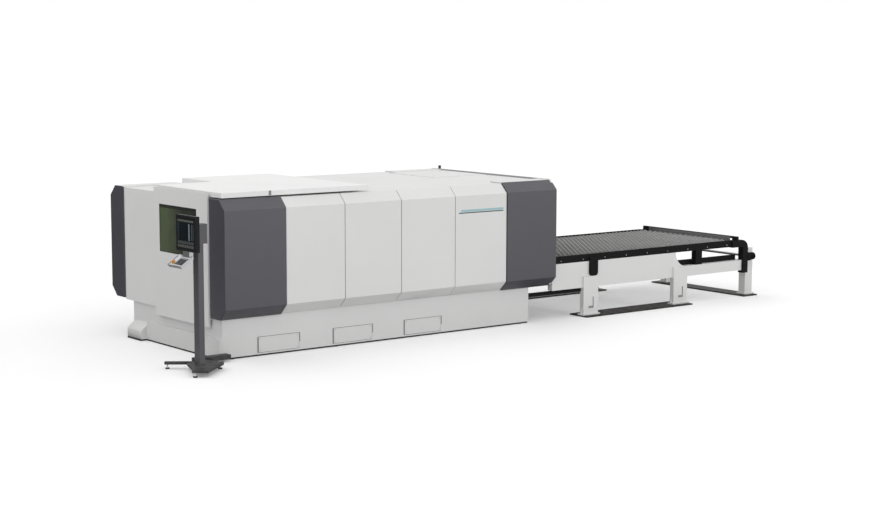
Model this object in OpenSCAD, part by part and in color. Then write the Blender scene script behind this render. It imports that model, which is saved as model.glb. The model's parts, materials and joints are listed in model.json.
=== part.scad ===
// Flat-bed fiber laser cutting machine with an exchange table and an operator stand.
// Millimetres, +X along the machine towards the table, +Y to the rear, +Z up.

/* [Enclosure] */
// Width of one panel module along the machine
module_w = 900; // [880:5:940]
// Depth of the enclosure from front to rear
enclosure_w = 3010; // [2960:10:3200]
// Height of the dark caps above the floor
roof_z = 2015; // [1960:5:2100]
// Height of the lower edge of the enclosure
skirt_z = 510; // [495:1:520]
// Width and height of the slanted edges
bevel = 133; // [110:1:145]
// Thickness of the insulated panels
panel_t = 30; // [20:1:36]
// Distance of the white panels behind the dark caps
panel_inset = 12; // [6:1:18]
// Gap between neighbouring panels
seam = 8; // [4:1:12]
// Depth of the left caps around the end
cap_return = 380; // [340:5:420]
// Depth of the right caps around the end
right_return = 95; // [80:1:96]
// Height of the right end wall above the caps
parapet_h = 10; // [6:1:40]

/* [Roof] */
// Height of the roof lids above the roof panel
hood_h = 89; // [70:1:110]
// Thickness of the roof lids
hood_t = 47; // [30:1:60]
// Front edge of the roof lids
hood_y = 130; // [110:5:200]
// Right end of the roof lids
hood_x1 = 2245; // [1900:5:2600]
// Joint between the two roof lids
hatch_x1 = 738; // [600:2:800]

/* [End door] */
// Width of the sliding end door
door_w = 1369; // [1300:1:1400]
// Height of the end door's lower edge
door_z = 393; // [370:1:420]
// Height of the end door
door_h = 1679; // [1600:1:1690]
// Thickness of the end door
door_t = 24; // [18:1:30]
// Width of the door's window
window_w = 962; // [800:2:1000]
// Height of the door's window
window_h = 620; // [500:2:700]
// Height of the window's lower edge
window_z = 1239; // [1150:1:1280]

/* [Machine bed] */
// Left end of the bed
bed_x = 40; // [38:1:44]
// Length of the bed
bed_l = 4985; // [4900:5:5060]
// Front face of the bed
bed_y = 160; // [155:1:165]
// Rear face of the bed
bed_rear = 2470; // [2440:5:2600]
// Height of the levelling pads
pad_h = 22; // [15:1:30]
// Top of the gantry runways
runway_z = 1090; // [1060:5:1120]
// Length of the lid on each bed pocket
cover_w = 613; // [500:1:700]
// Height of the lid on each bed pocket
cover_h = 207; // [150:1:240]

/* [Exchange table] */
// Distance of the table's centre line from the enclosure's front face
table_y = 1138; // [1130:1:1145]
// Half distance between the outer faces of the upper rails
rail_out = 1012; // [1008:1:1020]
// Width of the upper rails and of the side beams below them
rail_w = 95; // [90:1:100]
// Top of the table's deep side beams
beam_top = 801; // [795:1:806]
// Top of the table's low side beams
beam_low = 582; // [575:1:595]
// Lower edge of the table's side beams
beam_z = 423; // [400:1:440]
// Height of the upper rails
rail_h = 107; // [95:1:112]
// Height of the wheel track above the foot of the upper rails
track_h = 14; // [12:1:16]
// Left end of the table's rails
rail_x0 = 5520; // [5500:1:5530]
// Length of the table's upper rails past the outer pallet
rail_over = 18; // [13:1:60]
// Length of the rounded table end past the upper rails
guard_l = 342; // [330:1:360]
// Radius of the rounded table end
guard_r = 135; // [125:1:150]

/* [Pallets] */
// Length of a pallet
pallet_l = 3560; // [3500:2:3564]
// Left end of the outer pallet
pallet_x = 5535; // [5530:1:5545]
// Way of a pallet between the table and the machine
exchange_travel = 3845; // [3840:1:3860]
// Height between the two pallet levels
level_drop = 205; // [200:1:206]
// Height of a pallet's side beams
frame_h = 70; // [66:1:71]
// Height of a support slat
slat_h = 68; // [60:1:76]
// Number of support slats in a pallet
slat_n = 45; // [41:2:45]
// Thickness of a support slat
slat_t = 6; // [4:1:8]
// Radius of a pallet wheel
wheel_r = 34; // [30:1:34]
// Radius of a wheel axle
axle_r = 14; // [12:1:16]

/* [Gantry] */
// Middle of the gantry along the machine
bridge_x = 3450; // [3400:5:3500]
// Width of the gantry beam
bridge_w = 260; // [220:5:280]
// Height of the gantry beam
bridge_h = 220; // [180:5:260]
// Height of the cutting nozzle above the floor
nozzle_z = 1035; // [1033:1:1045]

/* [Operator stand] */
// Middle of the column along the machine
column_x = -528; // [-600:2:-500]
// Middle of the column across the machine
column_y = -275; // [-300:1:-250]
// Width of the column along the machine
column_w = 72; // [60:1:90]
// Depth of the column across the machine
column_d = 124; // [100:1:140]
// Height of the column
column_z = 1783; // [1740:1:1850]
// Width of the screen housing
screen_w = 470; // [440:2:520]
// Height of the screen housing
screen_h = 430; // [380:1:460]
// Lower edge of the screen housing
screen_z = 1455; // [1440:1:1480]

/* [Hidden] */
$fn = 48;

// Shared overrun of cuts, running fit of shafts and gap of seated faces
overrun = 5;
shaft_fit = 0.05;
seat_gap = 0.3;
slide_gap = 2;

// Colours
white_paint = "#dcdcdc";
dark_paint = "#5c5b61";
black_paint = "#2e2e2e";
steel = "#8a8a8a";
stand_paint = "#55545a";

// Enclosure
panel_n = 4;
enclosure_l = module_w * (panel_n + 2);
mitre_share = tan(22.5);
skirt_return = bed_y - slide_gap;
white_top = roof_z - panel_inset;
wall_x = bed_x - panel_t;
right_wall_x = enclosure_l - panel_t;
wall_foot = skirt_z - panel_inset - slide_gap - overrun;

// Table stations along and across the machine
rail_x1 = pallet_x + pallet_l + rail_over;
rail_y0 = table_y - rail_out;
rail_y1 = rail_y0 + rail_w;
lower_web = 10;
ledge_w = 70;
ledge_y1 = rail_y1 + ledge_w;
frame_y0 = ledge_y1 + 2 * slide_gap;
frame_w = 60;
slat_y0 = rail_y1 + lower_web + slide_gap;

// Table heights
track_z = beam_top + track_h;
axle_z = track_z + seat_gap + wheel_r;
frame_top = axle_z - slide_gap - seat_gap;
frame_z = frame_top - frame_h;
slat_top = frame_top + slat_h;
lower_track = track_z - level_drop;

// Bed profile
side_t = rail_y1 - bed_y;
runway_y0 = 60;
runway_t = 66;
runway_foot = 700;
runway_knee = 600;
runway_x0 = 100;
runway_x1 = 5265;
bed_floor = 12;
bed_wall = 72;
bed_x1 = bed_x + bed_l;
deck_t = 20;
rear_wall_y = bed_rear - bed_wall;
lift_x = [2100, 4850];
lift_y = frame_y0 + frame_w;
rod_r = 20;
member_w = 100;
member_z = 300;
member_h = 60;

// Overall box of the machine on the floor
plate_t = 20;
end_leg_out = 403;
end_leg_w = 159;
end_plate_in = 113;
end_plate_out = 22;
end_leg_x0 = rail_x1 + end_leg_out;
end_leg_x1 = end_leg_x0 + end_leg_w;
plate_end_x1 = end_leg_x1 + end_plate_out;
guard_x1 = rail_x1 + guard_l;
motor_l = 165;
motor_x1 = guard_x1 + motor_l;
base_tip = [-825, -609];
base_low = [-685, -738];
x_low = base_tip[0];
x_high = max(plate_end_x1, motor_x1);
y_low = base_low[1];
y_high = enclosure_w;
origin_x = (x_low + x_high) / 2;
origin_y = (y_low + y_high) / 2;

// A block between two corners
module span(low, high) {
    translate(low)
        cube(high - low);
}

// An outline in the YZ plane drawn out along X
module along_x(x0, x1) {
    translate([x0, 0, 0])
        rotate([90, 0, 90])
            linear_extrude(x1 - x0)
                children();
}

// An outline in the XZ plane drawn out along Y
module along_y(y0, y1) {
    translate([0, y1, 0])
        rotate([90, 0, 0])
            linear_extrude(y1 - y0)
                children();
}

// A round bar along Y
module bar_y(x, z, r, y0, y1) {
    translate([x, y0, z])
        rotate([-90, 0, 0])
            cylinder(r = r, h = y1 - y0);
}

// The rear half of the enclosure mirrors the front half
module rear_side() {
    translate([0, enclosure_w, 0])
        mirror([0, 1, 0])
            children();
}

// The table and the gantry mirror about their own centre line
module table_rear() {
    translate([0, 2 * table_y, 0])
        mirror([0, 1, 0])
            children();
}

module both_sides() {
    children();
    table_rear()
        children();
}

// Moves the machine so that its box is centred over the origin
module placed() {
    translate([-origin_x, -origin_y, 0])
        children();
}

// The six corners of the folded skin at a distance behind the cap face
function skin_edge(inset, top_d, foot_d) = [
    [top_d, roof_z - inset],
    [bevel + inset * mitre_share, roof_z - inset],
    [inset, roof_z - bevel - inset * mitre_share],
    [inset, skirt_z + bevel + inset * mitre_share],
    [bevel + inset * mitre_share, skirt_z + inset],
    [foot_d, skirt_z + inset]];

function reversed(points) = [for (i = [len(points) - 1:-1:0]) points[i]];

module skin_outline(inset, top_d, foot_d) {
    outer = skin_edge(inset, top_d, foot_d);
    inner = skin_edge(inset + panel_t, top_d, foot_d);
    polygon(concat(outer, reversed(inner)));
}

// A dark end cap with its cheek on the end of the machine
module cap(x0, x1, cheek_x) {
    along_x(x0, x1)
        skin_outline(0, cap_return, skirt_return);
    along_x(cheek_x, cheek_x + panel_t)
        polygon(skin_edge(0, cap_return, cap_return));
}

module left_cap() {
    cap(0, module_w - seam / 2, 0);
}

module right_cap() {
    difference() {
        cap(enclosure_l - module_w + seam / 2, enclosure_l, right_wall_x);
        span([right_wall_x - slide_gap, right_return, skirt_z - overrun],
            [enclosure_l + overrun, cap_return + overrun, roof_z + overrun]);
    }
}

module skin_panel(i) {
    along_x(module_w * i + seam / 2, module_w * (i + 1) - seam / 2)
        skin_outline(panel_inset, cap_return, skirt_return);
}

module front_left_cap() {
    color(dark_paint)
        left_cap();
}

module front_right_cap() {
    color(dark_paint)
        right_cap();
}

module rear_left_cap() {
    color(dark_paint)
        rear_side()
            left_cap();
}

module rear_right_cap() {
    color(dark_paint)
        rear_side()
            right_cap();
}

module front_panel(i) {
    color(white_paint)
        skin_panel(i);
}

// Cooling slots of the two middle rear panels
louvre_n = 9;
louvre_h = 14;
louvre_pitch = 40;
louvre_w_share = 0.5;
louvre_z_share = 0.62;

module louvres(i) {
    slot_w = module_w * louvre_w_share;
    z0 = skirt_z + (roof_z - skirt_z) * louvre_z_share;
    for (k = [0:louvre_n - 1])
        translate([module_w * (i + 0.5) - slot_w / 2, panel_inset - overrun, z0 + k * louvre_pitch])
            cube([slot_w, panel_t + 2 * overrun, louvre_h]);
}

module rear_panels() {
    color(white_paint)
        rear_side()
            for (i = [1:panel_n])
                difference() {
                    skin_panel(i);
                    if (i == 2 || i == 3)
                        louvres(i);
                }
}

// End door, its window and the track that it hangs on
door_x = wall_x - slide_gap - door_t;
door_gap = 8;
door_y = cap_return + door_gap;
door_y1 = door_y + door_w;
doorway_in = 62;
doorway_y0 = door_y + doorway_in;
doorway_w = 1180;
doorway_z = 640;
doorway_top = 1900;
window_in = 136;
window_y = door_y1 - window_w - window_in;
groove_d = 22;
groove_z = 1938;
groove_h = 48;
track_t = 10;
track_bar_h = 26;
hanger_h = 14;
hanger_w = 70;
hanger_y_shares = [0.04, 0.3];
pane_t = 8;
pane_gap = 0.5;

module left_wall() {
    color(white_paint)
        difference() {
            span([wall_x, cap_return + slide_gap, wall_foot],
                [bed_x, enclosure_w - cap_return - slide_gap, white_top]);
            span([wall_x - overrun, doorway_y0, doorway_z],
                [bed_x + overrun, doorway_y0 + doorway_w, doorway_top]);
            span([wall_x - overrun, door_y, groove_z],
                [wall_x + groove_d, door_y1, groove_z + groove_h]);
        }
}

module door_track() {
    color(steel)
        span([wall_x + groove_d - track_t, door_y + slide_gap, groove_z + slide_gap],
            [wall_x + groove_d, door_y1 - slide_gap, groove_z + slide_gap + track_bar_h]);
}

module end_door() {
    hang_z = groove_z + slide_gap + track_bar_h + seat_gap;
    color(white_paint) {
        difference() {
            span([door_x, door_y, door_z], [door_x + door_t, door_y1, door_z + door_h]);
            span([door_x - overrun, window_y, window_z],
                [door_x + door_t + overrun, window_y + window_w, window_z + window_h]);
        }
        for (share = hanger_y_shares)
            translate([door_x + door_t - slide_gap, door_y + door_w * share, hang_z])
                cube([groove_d + slide_gap * 2 - seat_gap, hanger_w, hanger_h]);
    }
}

module door_window() {
    color("#4d5a40", 0.8)
        translate([door_x + (door_t - pane_t) / 2, window_y + pane_gap, window_z + pane_gap])
            cube([pane_t, window_w - 2 * pane_gap, window_h - 2 * pane_gap]);
}

// Right end wall with the mouth for both pallet levels
mouth_gap = 8;
mouth_y0 = rail_y0 - mouth_gap;
mouth_top = 1010;
gate_x = 5290;
gate_t = 25;
gate_z = mouth_top + overrun;
gate_h = 495;
gate_y0 = mouth_y0 - mouth_gap;
gate_foot = gate_z - gate_h;
post_y0 = right_return + slide_gap;
post_foot = skirt_z + bevel + panel_t * (1 + mitre_share) - right_return;
gate_cut = post_foot - gate_foot;

// Half of the end wall's outline, which follows the caps' slanted edges
function wall_edge() = [
    [bevel, roof_z + parapet_h], [bevel, roof_z], [post_y0, roof_z - bevel + post_y0],
    [post_y0, skirt_z + bevel - post_y0], [bevel, skirt_z]];

module right_wall() {
    color(white_paint) {
        difference() {
            along_x(right_wall_x, enclosure_l)
                polygon(concat(wall_edge(),
                    [for (p = reversed(wall_edge())) [enclosure_w - p[0], p[1]]]));
            span([right_wall_x - overrun, mouth_y0, skirt_z - overrun],
                [enclosure_l + overrun, 2 * table_y - mouth_y0, mouth_top]);
        }
        both_sides()
            span([gate_x - slide_gap, post_y0, post_foot],
                [right_wall_x + slide_gap, gate_y0 - pane_gap, gate_z + gate_h]);
    }
}

module loading_door() {
    gate_y1 = 2 * table_y - gate_y0;
    color(steel)
        along_x(gate_x, gate_x + gate_t)
            polygon([[gate_y0 + gate_cut, gate_z], [gate_y0, gate_z + gate_cut],
                [gate_y0, gate_z + gate_h], [gate_y1, gate_z + gate_h],
                [gate_y1, gate_z + gate_cut], [gate_y1 - gate_cut, gate_z]]);
}

// Roof with its two lids, the service plate and a gland
hood_x0 = 35;
hood_lap = 10;
hood_rear = enclosure_w - cap_return + hood_lap;
hatch_rear = door_y1 + door_gap;
lid_gap = 4;
hood_step = 128;
step_x = hatch_x1 + hood_step;
curb_in = 60;
roof_plate_x = 4360;
roof_plate_y = 1510;
roof_plate_h = 6;
hood_lip_d = 25;
hood_lip_gap = 11;
gland_r = 20;
gland_h = 48;
gland_in = 320;
gland_y = enclosure_w - gland_in;

module roof_panel() {
    color(white_paint)
        span([bed_x, cap_return, white_top - panel_t],
            [right_wall_x, enclosure_w - cap_return, white_top]);
}

// A folded lid with a lip along its front and left edges, on a curb
module lid(x0, x1, y1) {
    lip_z = roof_z + hood_lip_gap;
    under = white_top + hood_h - hood_t;
    span([x0, hood_y, under], [x1, y1, white_top + hood_h]);
    span([x0, hood_y, lip_z], [x1, hood_y + hood_lip_d, under]);
    span([x0, hood_y, lip_z], [x0 + hood_lip_d, y1, under]);
    span([x0 + curb_in, cap_return + curb_in, white_top], [x1 - curb_in, y1 - curb_in, under]);
}

module roof_hatch() {
    color(white_paint)
        lid(hood_x0, hatch_x1, hatch_rear);
}

module roof_hood() {
    color(white_paint) {
        lid(hatch_x1 + lid_gap, hood_x1, hatch_rear);
        span([step_x, hatch_rear - curb_in, white_top], [hood_x1, hood_rear - curb_in, white_top + hood_h]);
    }
}

module roof_plate() {
    color(white_paint)
        span([roof_plate_x, roof_plate_y, white_top],
            [right_wall_x - curb_in / 2, enclosure_w - cap_return - curb_in / 2, white_top + roof_plate_h]);
}

module roof_gland() {
    color(black_paint)
        translate([right_wall_x + panel_t / 2, gland_y, roof_z + parapet_h])
            cylinder(r = gland_r, h = gland_h);
}

// Machine bed: a welded tub with the two gantry runways
cover_x = 565;
cover_pitch = 1145;
cover_n = 3;
cover_z = 40;
cover_gap = 5;
cover_t = 8;
recess_d = 6;
pad_r = 60;
pad_n = 4;
pad_in = 150;

module bed_side_outline() {
    polygon([[bed_y, pad_h], [rail_y1, pad_h], [rail_y1, beam_top],
        [runway_y0 + runway_t, beam_top], [runway_y0 + runway_t, runway_z],
        [runway_y0, runway_z], [runway_y0, runway_foot],
        [bed_y, runway_knee]]);
}

module bed_side() {
    intersection() {
        along_x(bed_x, runway_x1)
            bed_side_outline();
        union() {
            span([bed_x, bed_y, 0], [bed_x1, rail_y1, skirt_z]);
            span([runway_x0, 0, skirt_z - overrun], [runway_x1, rail_y1, runway_z]);
        }
    }
}

module cover_places() {
    for (i = [0:cover_n - 1])
        translate([cover_x + i * cover_pitch, bed_y, cover_z])
            children();
}

module machine_bed() {
    wall_y = 2 * table_y - rail_y1;
    color(white_paint)
        difference() {
            union() {
                both_sides()
                    bed_side();
                span([bed_x, bed_y, pad_h], [bed_x1, bed_rear, pad_h + bed_floor]);
                span([bed_x, bed_y, pad_h], [bed_x + bed_wall, bed_rear, skirt_z]);
                span([bed_x1 - bed_wall, bed_y, pad_h], [bed_x1, bed_rear, skirt_z]);
                span([bed_x, rear_wall_y, pad_h], [bed_x1, bed_rear, skirt_z]);
                span([bed_x, wall_y + bed_floor, skirt_z - deck_t], [bed_x1, bed_rear, skirt_z]);
                for (x = lift_x)
                    span([x - member_w / 2, rail_y1 - overrun, member_z],
                        [x + member_w / 2, wall_y + overrun, member_z + member_h]);
            }
            span([bed_x + bed_wall, wall_y + side_t, pad_h - overrun],
                [bed_x1 - bed_wall, rear_wall_y, skirt_z - deck_t]);
            cover_places()
                translate([0, -overrun, 0])
                    cube([cover_w, overrun + recess_d, cover_h]);
            for (x = lift_x)
                both_sides()
                    translate([x, lift_y, member_z - overrun])
                        cylinder(r = rod_r + shaft_fit, h = member_h + 2 * overrun);
        }
}

module bed_covers() {
    color(white_paint)
        cover_places()
            translate([cover_gap, recess_d - cover_t, cover_gap])
                cube([cover_w - 2 * cover_gap, cover_t, cover_h - 2 * cover_gap]);
}

module levelling_pads() {
    pitch = (bed_l - 2 * pad_in) / (pad_n - 1);
    color(black_paint)
        for (i = [0:pad_n - 1])
            for (y = [bed_y + pad_r, bed_rear - pad_r])
                translate([bed_x + pad_in + i * pitch, y, 0])
                    cylinder(r = pad_r, h = pad_h);
}

// Extraction duct along the left end and its rounded outlet
duct_d = 35;
duct_h = 240;
duct_y0 = bed_y + slide_gap;
boot_y0 = 2054;
boot_w = 386;
boot_out = 130;
boot_h = 228;
boot_r = 62;

module end_duct() {
    color(white_paint)
        span([bed_x - duct_d, duct_y0, pad_h], [bed_x, boot_y0, pad_h + duct_h]);
}

// An elbow that turns down to the floor with a rounded outer bend
module outlet_boot() {
    x0 = bed_x - boot_out;
    color(white_paint)
        along_y(boot_y0, boot_y0 + boot_w) {
            translate([x0, pad_h])
                square([boot_out, boot_h - boot_r]);
            translate([x0 + boot_r, pad_h])
                square([boot_out - boot_r, boot_h]);
            translate([x0 + boot_r, pad_h + boot_h - boot_r])
                circle(r = boot_r);
        }
}

// Gantry
guide_w = 24;
guide_h = 22;
guide_y = runway_y0 + runway_t / 2;
foot_w = 60;
bridge_foot = runway_z + guide_h + seat_gap;
bridge_z = runway_z + guide_h + foot_w;
bridge_wall = 12;
carriage_w = 260;
carriage_t = 40;
carriage_h = 290;
carriage_top_t = 25;
head_w = 90;
head_h = 380;
head_r = 32;
tip_r = 18;
tip_h = 60;
shoulder_h = 90;

module guide_rails() {
    color(steel)
        both_sides()
            span([runway_x0, guide_y - guide_w / 2, runway_z],
                [runway_x1, guide_y + guide_w / 2, runway_z + guide_h]);
}

module bridge_beam() {
    x0 = bridge_x - bridge_w / 2;
    color(steel)
        difference() {
            union() {
                span([x0, runway_y0, bridge_z],
                    [x0 + bridge_w, 2 * table_y - runway_y0, bridge_z + bridge_h]);
                both_sides()
                    span([x0, guide_y - foot_w / 2, bridge_foot],
                        [x0 + bridge_w, guide_y + foot_w / 2, bridge_z + overrun]);
            }
            span([x0 + bridge_wall, -enclosure_w, bridge_z + bridge_wall],
                [x0 + bridge_w - bridge_wall, 2 * enclosure_w, bridge_z + bridge_h - bridge_wall]);
        }
}

module y_carriage() {
    x0 = bridge_x + bridge_w / 2 + seat_gap;
    z1 = bridge_z + bridge_h + seat_gap;
    color(dark_paint) {
        span([x0, table_y - carriage_w / 2, z1 + carriage_top_t - carriage_h],
            [x0 + carriage_t, table_y + carriage_w / 2, z1 + carriage_top_t]);
        span([bridge_x, table_y - carriage_w / 2, z1],
            [x0 + carriage_t, table_y + carriage_w / 2, z1 + carriage_top_t]);
    }
}

head_x0 = bridge_x + bridge_w / 2 + carriage_t + 2 * seat_gap;
head_x = head_x0 + head_w / 2;
head_z0 = nozzle_z + tip_h + shoulder_h;

module cutting_head() {
    color(white_paint) {
        span([head_x0, table_y - head_w / 2, head_z0],
            [head_x0 + head_w, table_y + head_w / 2, head_z0 + head_h]);
        translate([head_x, table_y, nozzle_z + tip_h])
            cylinder(r = head_r, h = shoulder_h + overrun);
    }
}

module nozzle() {
    color("#b08d57")
        translate([head_x, table_y, nozzle_z])
            cylinder(r1 = tip_r / 3, r2 = tip_r, h = tip_h);
}

// Things inside the machine
tray_y0 = 700;
tray_h = 150;
tray_wall = 8;
tray_in = 60;
cabinet_gap = 20;
cabinet_y0 = 2 * table_y - runway_y0 + cabinet_gap;
cabinet_d_share = 0.32;
cabinet_d = (enclosure_w - panel_inset - panel_t - cabinet_y0) * cabinet_d_share;
laser_x = 300;
laser_l = 1200;
laser_h = 1150;
control_x = 1700;
control_l = 1900;
control_h = 1300;
cabinet_foot = 40;
groove = 6;

module scrap_tray() {
    low = [bed_x + bed_wall + tray_in, tray_y0, pad_h + bed_floor];
    high = [bed_x1 - bed_wall - tray_in, 2 * table_y - tray_y0, pad_h + bed_floor + tray_h];
    wall = [tray_wall, tray_wall, tray_wall];
    color(steel)
        difference() {
            span(low, high);
            span(low + wall, high + [-tray_wall, -tray_wall, overrun]);
        }
}

// A cabinet on a foot frame, with a joint around its doors
module cabinet(x, l, h, doors) {
    z0 = skirt_z + cabinet_foot;
    span([x + groove * 2, cabinet_y0 + groove * 2, skirt_z],
        [x + l - groove * 2, cabinet_y0 + cabinet_d - groove * 2, z0]);
    difference() {
        span([x, cabinet_y0, z0], [x + l, cabinet_y0 + cabinet_d, z0 + h]);
        for (i = [1:doors - 1])
            span([x + l * i / doors - groove / 2, cabinet_y0 + cabinet_d - groove, z0 + groove],
                [x + l * i / doors + groove / 2, cabinet_y0 + cabinet_d + overrun, z0 + h - groove]);
    }
}

module laser_source() {
    color(dark_paint)
        cabinet(laser_x, laser_l, laser_h, 2);
}

module control_cabinet() {
    color(white_paint)
        cabinet(control_x, control_l, control_h, 3);
}

// Rails, table frame and drive of the pallet exchange
lip_t = 10;
rail_end_in = 5270;
inner_x0 = 1600;
step_r = beam_top - beam_low;
step_x0 = 7905;
beam_x0 = 5440;
guard_leg = 110;
guard_d = 102;
guard_out = 28;
guard_y0 = rail_y0 - guard_out;
guard_drop = 8;
guard_foot = 382;
guard_top = beam_top + rail_h - guard_drop;
guard_cx = guard_x1 - guard_r;
guard_cz = guard_top - guard_r;
stop_out = 87;
stop_w = 40;
stop_h = 32;
stop_rise = 25;
stop_x = rail_x1 + stop_out;
stop_z = guard_top + stop_rise;
beam_x1 = guard_x1 - guard_leg - slide_gap;
leg_y0 = 100;
leg_d = 75;
leg_w = 285;
leg_x = [6022, 7845];
leg_top = 585;
foot_t = 20;
foot_out = 22;
end_leg_y0 = 205;
end_leg_d = 131;
end_post_z = 750;
end_block_out = 37;
end_block_x0 = rail_x1 + end_block_out;
end_block_y0 = guard_y0 + guard_d;
tie_z = 365;
tie_h = 45;
tie_w = 70;
cross_x = [5900, 7250, 8600];
cross_w = 90;
cross_z = 440;
cross_h = 95;
post_x = 6142;
post_plate_w = 155;
post_r = 50;
post2_x = 8338;
post2_w = 130;

module upper_rail(x0, x1) {
    along_x(x0, x1)
        polygon([[rail_y0, beam_top], [rail_y1, beam_top], [rail_y1, track_z],
            [rail_y0 + lip_t, track_z], [rail_y0 + lip_t, beam_top + rail_h],
            [rail_y0, beam_top + rail_h]]);
}

module upper_rails() {
    color(black_paint)
        both_sides() {
            upper_rail(rail_x0, rail_x1);
            upper_rail(inner_x0, rail_end_in);
        }
}

lower_web_top = 55;
lower_ledge = 40;
lower_over = 190;

module lower_rails() {
    color(black_paint)
        both_sides()
            along_x(rail_x0, rail_x1 + lower_over)
                polygon([[rail_y1, lower_track - lower_ledge], [ledge_y1, lower_track - lower_ledge],
                    [ledge_y1, lower_track], [rail_y1 + lower_web, lower_track],
                    [rail_y1 + lower_web, lower_track + lower_web_top],
                    [rail_y1, lower_track + lower_web_top]]);
}

module leg(x0, x1, y0, y1, top) {
    span([x0, y0, plate_t + foot_t], [x1, y1, top]);
    span([x0 - foot_out, y0 - foot_out, plate_t], [x1 + foot_out, y1 + foot_out, plate_t + foot_t]);
}

module table_side() {
    along_y(rail_y0, rail_y1) {
        translate([beam_x0, beam_z])
            square([beam_x1 - beam_x0, beam_low - beam_z]);
        translate([beam_x0, beam_z])
            square([step_x0 - beam_x0, beam_top - beam_z]);
        difference() {
            translate([step_x0, beam_low - overrun])
                square([step_r, step_r + overrun]);
            translate([step_x0 + step_r, beam_top])
                circle(r = step_r);
        }
    }
    for (x = leg_x) {
        leg(x, x + leg_w, leg_y0, leg_y0 + leg_d, beam_z + overrun);
        span([x, leg_y0, beam_z], [x + leg_w, rail_y0 + overrun, leg_top]);
    }
    span([end_block_x0, end_block_y0, beam_z],
        [end_leg_x1, end_leg_y0 + end_leg_d, lower_track - lower_ledge]);
    leg(end_leg_x0, end_leg_x1, end_leg_y0, end_leg_y0 + end_leg_d, end_post_z);
}

module table_front_frame() {
    color(white_paint)
        table_side();
}

module table_rear_frame() {
    color(white_paint)
        table_rear()
            table_side();
}

module table_cross_beams() {
    color(white_paint)
        for (x = cross_x)
            span([x, rail_y1, cross_z], [x + cross_w, 2 * table_y - rail_y1, cross_z + cross_h]);
}

// Floor plates with their anchor holes
plate_x0 = leg_x[0] - foot_out;
plate_x1 = leg_x[1] + leg_w + foot_out;
plate_w = 375;
plate_front = 102.5;
plate_y0 = leg_y0 - plate_front;
plate_end_x0 = end_leg_x0 - end_plate_in;
plate_end_y0 = 110;
anchor_r = 9;
anchor_in = 45;

module anchored_plate(low, high) {
    difference() {
        span([low[0], low[1], 0], [high[0], high[1], plate_t]);
        for (x = [low[0] + anchor_in, high[0] - anchor_in])
            for (y = [low[1] + anchor_in, high[1] - anchor_in])
                translate([x, y, -overrun])
                    cylinder(r = anchor_r, h = plate_t + 2 * overrun);
    }
}

module floor_plates() {
    color(black_paint) {
        both_sides()
            anchored_plate([plate_x0, plate_y0], [plate_x1, plate_y0 + plate_w]);
        anchored_plate([plate_end_x0, plate_end_y0], [plate_end_x1, 2 * table_y - plate_end_y0]);
    }
}

// Black brackets of the upper rails and the tie bar from the bed to the first leg
module rail_posts() {
    post_z = leg_top + seat_gap;
    color(black_paint) {
        both_sides() {
            along_y(guard_y0, rail_y0) {
                translate([post_x, post_z + post_r])
                    square([post_plate_w, beam_top + rail_h / 2 - post_z - post_r]);
                translate([post_x + post_r, post_z])
                    square([post_plate_w - 2 * post_r, post_r + overrun]);
                for (x = [post_x + post_r, post_x + post_plate_w - post_r])
                    translate([x, post_z + post_r])
                        circle(r = post_r);
            }
            span([post2_x, rail_y0, beam_low], [post2_x + post2_w, rail_y1, beam_top]);
        }
        span([bed_x1, bed_y, tie_z], [leg_x[0], bed_y + tie_w, tie_z + tie_h]);
    }
}

// The bent bar at each side of the table's end
module guard_outline() {
    translate([rail_x1, guard_top - guard_leg])
        square([guard_cx - rail_x1, guard_leg]);
    translate([guard_x1 - guard_leg, guard_foot])
        square([guard_leg, guard_cz - guard_foot]);
    difference() {
        translate([guard_cx, guard_cz])
            circle(r = guard_r, $fn = 96);
        translate([guard_cx, guard_cz])
            circle(r = guard_r - guard_leg, $fn = 96);
        translate([guard_cx - 2 * guard_r, guard_cz - 2 * guard_r])
            square([2 * guard_r, 4 * guard_r]);
        translate([guard_cx - guard_r, guard_cz - 2 * guard_r])
            square([3 * guard_r, 2 * guard_r]);
    }
}

shaft_r = 20;
shaft_x = guard_x1 - guard_leg / 2;
shaft_rise = 70;
shaft_z = beam_low + shaft_rise;
sprocket_r = 34;
sprocket_t = 18;
bore_in = 30;

module table_guard() {
    color(black_paint)
        difference() {
            union() {
                both_sides() {
                    along_y(guard_y0, guard_y0 + guard_d)
                        guard_outline();
                    span([stop_x, guard_y0, guard_top - overrun],
                        [stop_x + stop_w, guard_y0 + guard_d, stop_z + overrun]);
                }
                span([stop_x, guard_y0, stop_z], [stop_x + stop_w, 2 * table_y - guard_y0, stop_z + stop_h]);
            }
            bar_y(shaft_x, shaft_z, shaft_r + shaft_fit, guard_y0 + bore_in, 2 * table_y - guard_y0 - bore_in);
        }
}

// The shaft's ends run in the two bent bars
module drive_shaft() {
    end_y = guard_y0 + bore_in + slide_gap;
    color(steel) {
        bar_y(shaft_x, shaft_z, shaft_r, end_y, 2 * table_y - end_y);
        for (y = [guard_y0 + guard_d + slide_gap,
            2 * table_y - guard_y0 - guard_d - slide_gap - sprocket_t])
            bar_y(shaft_x, shaft_z, sprocket_r, y, y + sprocket_t);
    }
}

motor_d = 104;
motor_h = 119;
motor_low = 83;
motor_r = 55;
motor_side = 45;
flange_l = 66;

module drive_motor() {
    y = guard_y0 + motor_side;
    z = shaft_z - motor_low;
    color(black_paint) {
        span([guard_x1, y - motor_d / 2, z], [guard_x1 + flange_l, y + motor_d / 2, z + motor_h]);
        translate([guard_x1 + flange_l - overrun, y, z + motor_h / 2])
            rotate([0, 90, 0])
                cylinder(r = motor_r, h = motor_l - flange_l + overrun);
    }
}

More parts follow.
